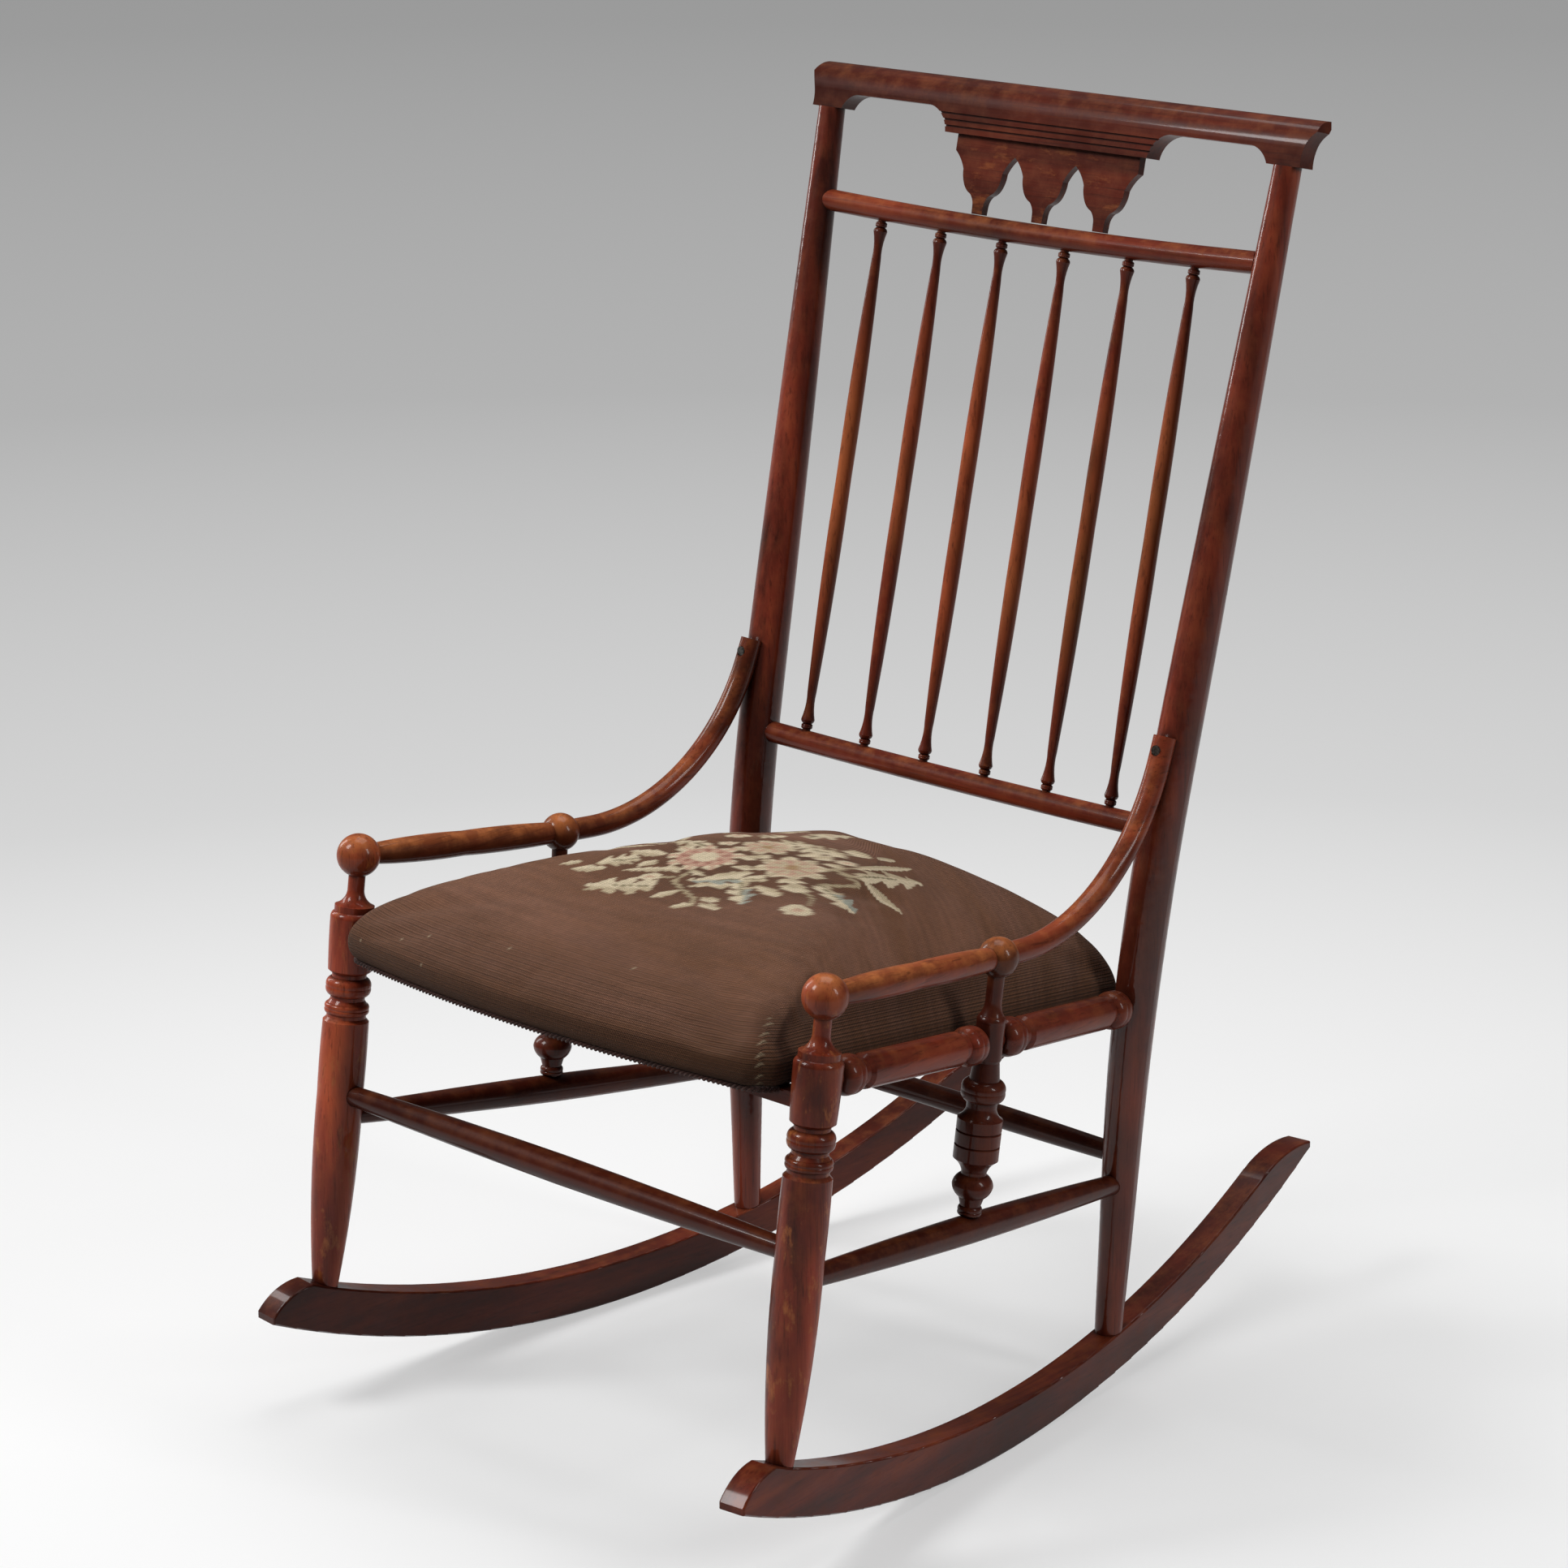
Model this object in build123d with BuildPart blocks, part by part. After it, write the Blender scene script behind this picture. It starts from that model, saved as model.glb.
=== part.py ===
from build123d import *
import os
from math import asin, atan2, cos, pi, radians, sin, sqrt, tan

# Spindle back rocking chair at rest on a floor at Z = 0, facing -Y, sizes in millimetres.
# The left side is the sitter's left, at +X. The right side is its mirror image.

# Fits shared by all joints
tenon_play = 0.15          # radial play of a round tenon in its mortise
cope_gap = 0.2             # room between a coped end and the round member it meets
blind_end = 1.0            # room beyond the end of a tenon

# Rockers
rocker_track = 196.3       # from the middle of the chair to a rocker, where it touches the floor
rocker_toe = 6.2           # degrees by which the rockers draw together towards the back
rocker_thickness = 21.0
rocker_depth = 31.4        # height of the rocker's lowest top point
rocker_top_shift = 19.5    # how far that point lies behind the floor contact
rocker_front_radius = 758.0
rocker_rear_radius = 866.0
rocker_top_radius = 790.0
rocker_front_reach = 314.5
rocker_rear_reach = 407.5
rocker_tail_length = 72.0  # rounded top at the back end
rocker_tail_crown = 6.0
rocker_nose_length = 35.0
rocker_nose_crown = 4.0
rocker_tip = 5.0           # height of the blunt front and back ends
rocker_arris = 1.5

# Front legs, with heights measured along the leg from the rocker
front_foot_reach = 262.1   # from the floor contact to the foot, along the rocker
front_leg_lean = 7.9       # degrees towards the back
leg_foot_diameter = 18.8
leg_belly_diameter = 33.2
leg_taper_length = 143.0
leg_belly_length = 54.0
leg_groove_diameter = 28.4
leg_groove_width = 5.0
leg_ring_diameter = 31.4
leg_ring_height = 8.0
leg_neck_diameter = 24.8
leg_bead_diameter = 32.2
leg_bead_height = 14.0
leg_neck_height = 5.0
leg_barrel_low_diameter = 31.2
leg_barrel_diameter = 33.6
leg_barrel_length = 43.0
leg_cap_diameter = 28.6
leg_cap_height = 9.0
leg_throat_diameter = 12.2
leg_throat_length = 16.0
leg_ball_diameter = 31.4
leg_tenon_diameter = 13.0
leg_tenon_length = 20.0

# Rear posts: straight below the seat, bent at the seat, straight and raked above it
rear_foot_reach = 139.5
post_splay = 2.2           # degrees outwards
post_low_rake = 1.5
post_high_rake = 12.4
post_bend_start = 185.0    # height above the floor
post_bend_radius = 1450.0
post_foot_diameter = 20.0
post_seat_diameter = 32.0
post_seat_height = 365.0
post_top_diameter = 19.8
post_height = 880.0
post_tenon_diameter = 8.6
post_tenon_length = 12.0

# Stretchers
stretcher_end_diameter = 14.8
stretcher_belly_diameter = 21.0
stretcher_rear_diameter = 17.0
stretcher_tenon_end = 4.0  # how far a tenon passes the axis of the member that holds it
front_stretcher_height = 144.0   # along the front leg
side_stretcher_height = 125.5    # along the front leg
side_stretcher_rear = 155.5      # above the floor
rear_stretcher_height = 177.0

# Seat rails: turned sides, and flat front and back rails that carry the upholstered frame
side_rail_drop = 16.0      # below the top of the leg barrel
side_rail_rear = 291.0     # above the floor
side_rail_diameter = 24.4
side_rail_bulb_diameter = 27.0
side_rail_bulb_length = 24.0
side_rail_groove_diameter = 20.0
side_rail_groove_width = 5.0
side_rail_neck_diameter = 14.0
side_rail_thin_diameter = 11.6
seat_rail_thickness = 16.0
seat_rail_depth = 10.0
seat_rail_tenon = 8.0     # height and thickness of the tenons of the flat rails
seat_rail_top = -9.5       # measured square to the seat, from the axis of the side rails

# Balusters, from the side stretchers through the seat rails up to the arms
baluster_share = 0.503     # share of the side stretcher in front of the baluster
arm_ball_height = 375.5
arm_ball_setback = 188.0   # behind the front leg's ball
arm_ball_diameter = 28.4
baluster_foot_diameter = 16.4
baluster_bulb_diameter = 28.8
baluster_waist_diameter = 17.8
baluster_drum_diameter = 31.6
baluster_drum_length = 29.0
baluster_bead_diameter = 30.4
baluster_neck_diameter = 21.0
baluster_barrel_diameter = 20.0
baluster_throat_diameter = 11.8
baluster_tenon_diameter = 9.0
baluster_scribe = 0.8
baluster_bulb_rise = 22.0     # from the foot up to the bulb
baluster_drum_rise = 19.0     # from the bulb up to the drum
baluster_bead_rise = 20.0     # from the drum's top up to the bead
baluster_throat_drop = 14.0   # from the arm ball down to the throat

# Arms
arm_rod_diameter = 18.4
arm_rod_end_diameter = 15.6
arm_bow_diameter = 16.4
arm_bow_radius = 160.0
arm_bow_start = 4.0        # degrees below level where it leaves the ball
arm_end_height = 489.0
arm_end_drop = 0.96        # of the bow's tip, below the height where it meets the post
arm_end_length = 16.0
arm_socket_depth = 10.0
arm_screw_head_diameter = 7.0
arm_screw_head_height = 2.4
arm_screw_diameter = 3.6
arm_screw_length = 30.0

# Back
lower_rail_height = 418.0
upper_rail_drop = 66.7     # below the tops of the posts
cross_rail_diameter = 16.2
cross_rail_tenon = 10.0
lower_rail_sag = 1.7
upper_rail_sag = 4.2
spindle_count = 6
spindle_pitch = 59.0
spindle_tenon_diameter = 6.2
spindle_tenon_length = 6.0
spindle_bead_diameter = 8.4
spindle_flare_diameter = 10.4
spindle_neck_diameter = 7.0
spindle_belly_diameter = 11.6
spindle_bead_height = 4.0
spindle_flare_height = 24.0

# Crest rail and its pendant board
crest_front = 6.0          # in front of the post axes
crest_back = 9.5           # behind the post axes
crest_roll = 5.5           # further back at the top edge
crest_height = 34.5
crest_nose_radius = 20.5
crest_half_length = 235.0
crest_lobe_outer = 228.0
crest_lobe_inner = 199.0
crest_bracket = 14.0
crest_web_height = 11.2    # lower edge between the lobes and the pediment
pediment_half = 94.5
pediment_drop = 7.2
pediment_cove = 17.5
pediment_groove = 1.4
pediment_groove_pitch = 4.6
pendant_count = 3
pendant_pitch = 57.0
pendant_thickness = 6.4
pendant_setback = 5.0      # behind the front of the crest
pendant_tongue = 4.0
pendant_shoulder = 12.0    # from the pediment down to the cusps
pendant_belly_width = 36.0
pendant_tip_width = 9.6
pendant_tip_gap = 0.4

# Upholstered seat, measured on the plane of the side rails: back from the front legs' axes and
# up from the side rails' axes
seat_front_half = 206.0
seat_rear_half = 170.0
seat_front_overhang = 30.0
seat_front_bow = 22.0
seat_rear_overhang = 18.0  # behind the rear posts' axes
seat_corner = 18.0
seat_crown = 93.0
crown_front = 270.0        # how far the crown's top stands in from the front, the sides and the back
crown_side = 150.0
crown_rear = 108.0
cover_thickness = 2.4
cover_gap = 0.8
frame_inset = 7.5
frame_rail_width = 44.0
frame_thickness = 18.0
frame_tenon_thickness = 8.0
frame_tenon_width = 26.0
frame_tenon_length = 24.0
strap_width = 50.0
strap_thickness = 1.6
strap_count = 3
sheet_thickness = 1.0
piping_diameter = 4.0
tack_head_diameter = 6.0
tack_head_height = 1.2
tack_shank_diameter = 1.6
tack_length = 9.0
tacks_across = 8
tacks_along = 7
seat_screw_head_diameter = 8.0
seat_screw_diameter = 4.2
seat_screw_length = 24.0
seat_screw_head_height = 2.4
seat_screw_half = 110.0

middle = Plane.YZ


def write(piece, name):
    piece.part.label = name
    export_step(piece.part, f"parts/{name}.step")


def write_pair(left_piece, name):
    write(left_piece, f"{name}_left")
    with BuildPart() as right_piece:
        mirror(left_piece.part, about=middle)
    write(right_piece, f"{name}_right")


def along(start, end, share):
    return start + (end - start) * share


def lathe_plane(start, end):
    # the local X axis is radial and the local Y axis runs from start to end
    axis = (end - start).normalized()
    side = axis.cross(Vector(0.3, 0.9, 0.2)).normalized()
    return Plane(origin=start, x_dir=side, z_dir=side.cross(axis))


def lathe_outline(steps):
    # each step is (diameter, height) or (diameter, height, bulge of the arc that leads to it)
    here = (0, steps[0][1])
    foot = here
    for diameter, height, *bulge in steps:
        there = (diameter / 2, height)
        if bulge:
            run, rise = there[0] - here[0], there[1] - here[1]
            length = sqrt(run * run + rise * rise)
            swell = bulge[0] / length
            crown = ((here[0] + there[0]) / 2 + rise * swell, (here[1] + there[1]) / 2 - run * swell)
            ThreePointArc(here, crown, there)
        else:
            Line(here, there)
        here = there
    top = (0, here[1])
    Line(here, top)
    Line(top, foot)


def turned(start, end, steps):
    with BuildPart() as piece:
        with BuildSketch(lathe_plane(start, end)):
            with BuildLine():
                lathe_outline(steps)
            make_face()
        revolve(axis=Axis(start, end - start))
    return piece


def peg(start, end, diameter, mode=Mode.ADD):
    with Locations(Plane(origin=start, z_dir=end - start)):
        Cylinder(diameter / 2, (end - start).length, align=(Align.CENTER, Align.CENTER, Align.MIN), mode=mode)


def bore(start, end, diameter):
    reach = (end - start).normalized() * blind_end
    peg(start, end + reach, diameter + 2 * tenon_play, mode=Mode.SUBTRACT)


# Rocker line: distances run along the rocker from its floor contact, backwards
toe_run = Vector(-sin(radians(rocker_toe)), cos(radians(rocker_toe)), 0)
toe_out = Vector(cos(radians(rocker_toe)), sin(radians(rocker_toe)), 0)
contact_y = -(rocker_rear_reach - rocker_front_reach) / 2 * cos(radians(rocker_toe))
contact = Vector(rocker_track, contact_y, 0)


def arc_rise(radius, reach):
    return radius - sqrt(radius * radius - reach * reach)


def rocker_top(reach):
    return rocker_depth + arc_rise(rocker_top_radius, reach - rocker_top_shift)


def rocker_point(reach, height):
    return contact + toe_run * reach + Vector(0, 0, height)


def rocker_outline():
    nose = (-rocker_front_reach, arc_rise(rocker_front_radius, rocker_front_reach))
    front_middle = (-rocker_front_reach / 2, arc_rise(rocker_front_radius, rocker_front_reach / 2))
    tail_start = rocker_rear_reach - rocker_tail_length
    tail = (rocker_rear_reach, arc_rise(rocker_rear_radius, rocker_rear_reach))
    rear_middle = (rocker_rear_reach / 2, arc_rise(rocker_rear_radius, rocker_rear_reach / 2))
    tail_top = (tail_start, rocker_top(tail_start))
    tail_tip = (tail[0], tail[1] + rocker_tip)
    tail_crown = ((tail[0] + tail_top[0]) / 2, (tail_tip[1] + tail_top[1]) / 2 + rocker_tail_crown)
    nose_start = rocker_nose_length - rocker_front_reach
    nose_top = (nose_start, rocker_top(nose_start))
    nose_tip = (nose[0], nose[1] + rocker_tip)
    nose_crown = ((nose[0] + nose_top[0]) / 2 - rocker_nose_crown / 2,
                  (nose_tip[1] + nose_top[1]) / 2 + rocker_nose_crown)
    ThreePointArc(nose, front_middle, (0, 0))
    ThreePointArc((0, 0), rear_middle, tail)
    Line(tail, tail_tip)
    ThreePointArc(tail_tip, tail_crown, tail_top)
    ThreePointArc(tail_top, (rocker_top_shift, rocker_depth), nose_top)
    ThreePointArc(nose_top, nose_crown, nose_tip)
    Line(nose_tip, nose)


# Joint points of the frame
front_foot = rocker_point(-front_foot_reach, rocker_top(-front_foot_reach))
leg_run = Vector(0, sin(radians(front_leg_lean)), cos(radians(front_leg_lean)))
leg_ring_level = leg_taper_length + leg_belly_length + leg_groove_width
leg_bead_level = leg_ring_level + leg_ring_height + leg_neck_height
leg_barrel_level = leg_bead_level + leg_bead_height + leg_neck_height
leg_cap_level = leg_barrel_level + leg_barrel_length
leg_throat_level = leg_cap_level + leg_cap_height
leg_ball_level = leg_throat_level + leg_throat_length + leg_ball_diameter / 2
leg_ball = front_foot + leg_run * leg_ball_level

rear_foot = rocker_point(rear_foot_reach, rocker_top(rear_foot_reach))
splay_up = Vector(sin(radians(post_splay)), 0, cos(radians(post_splay)))


def post_rake(height):
    # angle of the post's axis at a height above the floor
    climb = (height - post_bend_start) / cos(radians(post_splay)) / post_bend_radius
    bent = asin(min(1, max(-1, climb + sin(radians(post_low_rake)))))
    return min(radians(post_high_rake), max(radians(post_low_rake), bent))


def post_point(height):
    rake = post_rake(height)
    low = radians(post_low_rake)
    bend_low = min(height, post_bend_start)
    set_back = (bend_low - rear_foot.Z) / cos(radians(post_splay)) * tan(low)
    bend = post_bend_radius * (cos(low) - cos(rake))
    bend_top = post_bend_start + post_bend_radius * (sin(rake) - sin(low)) * cos(radians(post_splay))
    above = max(0, height - max(bend_top, post_bend_start)) / cos(radians(post_splay)) * tan(rake)
    splay = (height - rear_foot.Z) * tan(radians(post_splay))
    return Vector(rear_foot.X + splay, rear_foot.Y + set_back + bend + above, height)


def post_direction(height):
    return splay_up * cos(post_rake(height)) + Vector(0, sin(post_rake(height)), 0)


def post_diameter(height):
    if height < post_seat_height:
        share = (height - rear_foot.Z) / (post_seat_height - rear_foot.Z)
        return post_foot_diameter + (post_seat_diameter - post_foot_diameter) * sin(share * pi / 2)
    share = (height - post_seat_height) / (post_height - post_seat_height)
    return post_top_diameter + (post_seat_diameter - post_top_diameter) * cos(share * pi / 2)


front_stretcher_end = front_foot + leg_run * front_stretcher_height
side_stretcher_front = front_foot + leg_run * side_stretcher_height
side_stretcher_back = post_point(side_stretcher_rear)
rear_stretcher_end = post_point(rear_stretcher_height)
side_rail_front = front_foot + leg_run * (leg_cap_level - side_rail_drop)
side_rail_back = post_point(side_rail_rear)
baluster_foot = along(side_stretcher_front, side_stretcher_back, baluster_share)
arm_end = post_point(arm_end_height)
arm_share = arm_ball_setback / (arm_end.Y - leg_ball.Y)
arm_ball = Vector(along(leg_ball, arm_end, arm_share).X, leg_ball.Y + arm_ball_setback, arm_ball_height)
baluster_run = (arm_ball - baluster_foot).normalized()

# Plane of the seat, through the axes of the side rails
seat_slope = Vector(0, side_rail_back.Y - side_rail_front.Y, side_rail_back.Z - side_rail_front.Z)
seat_depth = seat_slope.length
seat_origin = Vector(0, side_rail_front.Y, side_rail_front.Z)
seat_up = Vector(1, 0, 0).cross(seat_slope.normalized())
seat_plane = Plane(origin=seat_origin, x_dir=(1, 0, 0), z_dir=seat_up)

# The baluster's barrel is where its axis crosses the plane of the side rails
barrel_level = (seat_origin - baluster_foot).dot(seat_up) / baluster_run.dot(seat_up)
barrel_joint = baluster_foot + baluster_run * barrel_level
arm_ball_level = (arm_ball - baluster_foot).length

# Rockers
rocker_plane = Plane(origin=contact, x_dir=toe_run, z_dir=toe_out)
with BuildPart() as rocker_blank:
    with BuildSketch(rocker_plane):
        with BuildLine():
            rocker_outline()
        make_face()
    extrude(amount=rocker_thickness / 2, both=True)
    fillet(rocker_blank.faces().filter_by(rocker_plane).edges(), rocker_arris)

with BuildPart() as rocker_left:
    add(rocker_blank.part)
    for foot, run in ((front_foot, leg_run), (rear_foot, post_direction(rear_foot.Z))):
        bore(foot + run * leg_tenon_length, foot - run * leg_tenon_length, leg_tenon_diameter)
write_pair(rocker_left, "rocker")

# The foot of a leg is coped to the top of the rocker
foot_cut_plane = Plane(origin=contact + Vector(0, 0, cope_gap), x_dir=toe_run, z_dir=toe_out)
with BuildPart() as foot_cut:
    with BuildSketch(foot_cut_plane):
        with BuildLine():
            rocker_outline()
        make_face()
    extrude(amount=rocker_thickness, both=True)
foot_depth = leg_foot_diameter / 2

# Front legs
leg_steps = [
    (leg_foot_diameter, -foot_depth),
    (leg_foot_diameter, 0),
    (leg_belly_diameter, leg_taper_length, 2.4),
    (leg_belly_diameter, leg_taper_length + leg_belly_length, 0.4),
    (leg_groove_diameter, leg_ring_level - leg_groove_width / 2),
    (leg_groove_diameter, leg_ring_level),
    (leg_ring_diameter, leg_ring_level + leg_ring_height / 2, 1.0),
    (leg_groove_diameter, leg_ring_level + leg_ring_height, 1.0),
    (leg_neck_diameter, leg_bead_level - leg_neck_height / 2),
    (leg_neck_diameter, leg_bead_level),
    (leg_bead_diameter, leg_bead_level + leg_bead_height / 2, 1.6),
    (leg_neck_diameter, leg_bead_level + leg_bead_height, 1.6),
    (leg_neck_diameter, leg_barrel_level - leg_neck_height / 2),
    (leg_barrel_low_diameter, leg_barrel_level),
    (leg_barrel_diameter, leg_cap_level - leg_neck_height, 0.3),
    (leg_cap_diameter, leg_cap_level, 0.8),
    (leg_cap_diameter, leg_cap_level + leg_cap_height / 2),
    (leg_throat_diameter, leg_throat_level + leg_throat_length / 2, -2.6),
    (leg_throat_diameter, leg_ball_level - leg_ball_diameter / 2 + leg_throat_diameter / 8),
]
stretcher_past = Vector(stretcher_tenon_end, 0, 0)
side_stretcher_run = (side_stretcher_back - side_stretcher_front).normalized()
side_rail_run = (barrel_joint - side_rail_front).normalized()
arm_rod_run = (arm_ball - leg_ball).normalized()
leg_ball_socket = leg_ball + arm_rod_run * (leg_ball_diameter / 2 - arm_socket_depth)
seat_rail_middle = seat_rail_top - seat_rail_depth / 2
front_rail_end = side_rail_front + seat_up * seat_rail_middle
rear_rail_end = side_rail_back + seat_up * seat_rail_middle


def flat_rail_bar(end, height, thickness, past):
    # a straight bar from side to side, square to the seat
    bar_plane = Plane(origin=(0, end.Y, end.Z), x_dir=(1, 0, 0), z_dir=seat_up)
    return bar_plane * Box(2 * (end.X + past), thickness, height, mode=Mode.PRIVATE)


def flat_rail_mortise(end):
    play = 2 * tenon_play
    add(flat_rail_bar(end, seat_rail_tenon + play, seat_rail_tenon + play, stretcher_tenon_end + blind_end),
        mode=Mode.SUBTRACT)


leg_blank = turned(front_foot, leg_ball, leg_steps)
with BuildPart() as front_leg_left:
    add(leg_blank.part)
    add(foot_cut.part, mode=Mode.SUBTRACT)
    peg(front_foot + leg_run * foot_depth, front_foot - leg_run * leg_tenon_length, leg_tenon_diameter)
    with Locations(leg_ball):
        Sphere(leg_ball_diameter / 2)
    bore(front_stretcher_end - stretcher_past * 5, front_stretcher_end + stretcher_past,
         stretcher_end_diameter)
    bore(side_stretcher_front + side_stretcher_run * leg_belly_diameter,
         side_stretcher_front - side_stretcher_run * stretcher_tenon_end, stretcher_end_diameter)
    bore(side_rail_front + side_rail_run * leg_barrel_diameter,
         side_rail_front - side_rail_run * stretcher_tenon_end, side_rail_neck_diameter)
    bore(leg_ball + arm_rod_run * leg_ball_diameter, leg_ball_socket, arm_rod_end_diameter)
    flat_rail_mortise(front_rail_end)
write_pair(front_leg_left, "front_leg")

# Rear posts
post_stations = 13
back_up = Vector(0, sin(radians(post_high_rake)), cos(radians(post_high_rake)))
back_front = Vector(0, -cos(radians(post_high_rake)), sin(radians(post_high_rake)))
post_top = post_point(post_height)
crest_plane = Plane(origin=(0, post_top.Y, post_top.Z), x_dir=(1, 0, 0), z_dir=back_front)
crest_base = Plane(origin=(0, post_top.Y, post_top.Z), x_dir=(1, 0, 0), z_dir=back_up)


def post_blank(skin):
    # the bare post, thicker by a skin where it is used to cope what meets it
    low = rear_foot.Z - foot_depth
    high = post_height + foot_depth
    with BuildPart() as blank:
        for station in range(post_stations):
            height = low + (high - low) * station / (post_stations - 1)
            level = min(post_height, max(rear_foot.Z, height))
            with BuildSketch(Plane(origin=post_point(height), x_dir=(1, 0, 0), z_dir=post_direction(height))):
                Circle(post_diameter(level) / 2 + skin)
        loft()
        split(bisect_by=crest_base, keep=Keep.BOTTOM)
    return blank


lower_rail_end = post_point(lower_rail_height)
upper_rail_end = post_point(post_height - upper_rail_drop)
rear_rail_run = (side_rail_back - barrel_joint).normalized()


def cross_rail_point(end, sag, x):
    drop = sag * (1 - (x / end.X) ** 2)
    return Vector(x, end.Y, end.Z) - back_up * drop


def cross_rail_slope(end, sag):
    # direction of the rail where it enters the left post
    return (end - cross_rail_point(end, sag, end.X - cross_rail_diameter)).normalized()


lower_rail_run = cross_rail_slope(lower_rail_end, lower_rail_sag)
upper_rail_run = cross_rail_slope(upper_rail_end, upper_rail_sag)

# Path of the bent arm, in its upright plane from the baluster's ball to the post
arm_bow_run = Vector(arm_end.X - arm_ball.X, arm_end.Y - arm_ball.Y, 0).normalized()
arm_bow_dive = radians(arm_bow_start)
arm_bow_out = arm_bow_run * cos(arm_bow_dive) - Vector(0, 0, 1) * sin(arm_bow_dive)
arm_tip = arm_socket_depth - arm_ball_diameter / 2
arm_bow_plane = Plane(origin=arm_ball, x_dir=arm_bow_run, z_dir=arm_bow_run.cross(Vector(0, 0, 1)))
bow_post_radius = post_diameter(arm_end_height) / 2
bow_reach = (arm_end.Y - arm_ball.Y) / arm_bow_run.Y - bow_post_radius - arm_bow_diameter / 6
bow_rise = arm_end_height - arm_end_drop - arm_ball.Z
# angle by which the bow climbs where it meets the post, from the height of that place
bow_down = arm_bow_radius - arm_end_length * tan(arm_bow_dive)
bow_over = arm_end_length + arm_bow_radius * tan(arm_bow_dive)
bow_lift = bow_rise - arm_bow_radius / cos(arm_bow_dive) + bow_reach * tan(arm_bow_dive)
bow_climb = atan2(bow_down, bow_over) + asin(bow_lift / sqrt(bow_down * bow_down + bow_over * bow_over))
bow_turn_run = arm_bow_radius * (sin(bow_climb) + sin(arm_bow_dive))
bow_turn_rise = arm_bow_radius * (cos(arm_bow_dive) - cos(bow_climb))
bow_start_x = bow_reach - arm_end_length * cos(bow_climb) - bow_turn_run
bow_tangent = (bow_start_x, -bow_start_x * tan(arm_bow_dive))
bow_turn_end = (bow_tangent[0] + bow_turn_run, bow_tangent[1] + bow_turn_rise)
bow_half_angle = (bow_climb - arm_bow_dive) / 2
bow_turn_middle = (bow_tangent[0] + arm_bow_radius * (sin(bow_half_angle) + sin(arm_bow_dive)),
                   bow_tangent[1] + arm_bow_radius * (cos(arm_bow_dive) - cos(bow_half_angle)))
bow_tail = (bow_turn_end[0] + arm_end_length * cos(bow_climb),
            bow_turn_end[1] + arm_end_length * sin(bow_climb))
bow_seat = arm_ball_diameter / 4
bow_first = (bow_seat * cos(arm_bow_dive), -bow_seat * sin(arm_bow_dive))
bow_screw_x = (bow_turn_end[0] + bow_tail[0]) / 2
bow_screw_y = (bow_turn_end[1] + bow_tail[1]) / 2
bow_face = arm_bow_diameter / 2 / sin(bow_climb)
arm_screw_axis = arm_ball + arm_bow_run * bow_screw_x + Vector(0, 0, bow_screw_y)
arm_screw_front = arm_screw_axis - arm_bow_run * bow_face
arm_screw_seat = arm_screw_front + arm_bow_run * arm_screw_head_height
arm_screw_tip = arm_screw_seat + arm_bow_run * arm_screw_length

with BuildPart() as rear_post_left:
    add(post_blank(0).part)
    add(foot_cut.part, mode=Mode.SUBTRACT)
    low_run = post_direction(rear_foot.Z)
    peg(rear_foot + low_run * foot_depth, rear_foot - low_run * leg_tenon_length, leg_tenon_diameter)
    peg(post_top - post_direction(post_height) * foot_depth,
        post_top + post_direction(post_height) * post_tenon_length, post_tenon_diameter)
    bore(rear_stretcher_end - stretcher_past * 5, rear_stretcher_end + stretcher_past, stretcher_end_diameter)
    bore(side_stretcher_back - side_stretcher_run * post_seat_diameter,
         side_stretcher_back + side_stretcher_run * stretcher_tenon_end, stretcher_end_diameter)
    bore(side_rail_back - rear_rail_run * post_seat_diameter,
         side_rail_back + rear_rail_run * stretcher_tenon_end, side_rail_neck_diameter)
    flat_rail_mortise(rear_rail_end)
    for end, run in ((lower_rail_end, lower_rail_run), (upper_rail_end, upper_rail_run)):
        bore(end - run * post_seat_diameter, end + run * stretcher_tenon_end, cross_rail_tenon)
    bore(arm_screw_seat, arm_screw_tip, arm_screw_diameter)
write_pair(rear_post_left, "rear_post")


# Stretchers
def stretcher_steps(length, belly_diameter):
    past = stretcher_tenon_end
    return [
        (stretcher_end_diameter, -past),
        (stretcher_end_diameter, leg_belly_diameter / 2),
        (belly_diameter, length / 2, 0.6),
        (stretcher_end_diameter, length - leg_belly_diameter / 2, 0.6),
        (stretcher_end_diameter, length + past),
    ]


def mirrored(point):
    return Vector(-point.X, point.Y, point.Z)


front_stretcher = turned(mirrored(front_stretcher_end), front_stretcher_end,
                         stretcher_steps(2 * front_stretcher_end.X, stretcher_belly_diameter))
write(front_stretcher, "front_stretcher")

rear_stretcher = turned(mirrored(rear_stretcher_end), rear_stretcher_end,
                        stretcher_steps(2 * rear_stretcher_end.X, stretcher_rear_diameter))
write(rear_stretcher, "rear_stretcher")

side_stretcher_length = (side_stretcher_back - side_stretcher_front).length
side_stretcher_blank = turned(side_stretcher_front, side_stretcher_back,
                              stretcher_steps(side_stretcher_length, stretcher_belly_diameter))
baluster_tenon_end = baluster_foot - baluster_run * stretcher_tenon_end
with BuildPart() as side_stretcher_left:
    add(side_stretcher_blank.part)
    bore(baluster_foot + baluster_run * stretcher_belly_diameter, baluster_tenon_end, baluster_tenon_diameter)
write_pair(side_stretcher_left, "side_stretcher")

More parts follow.
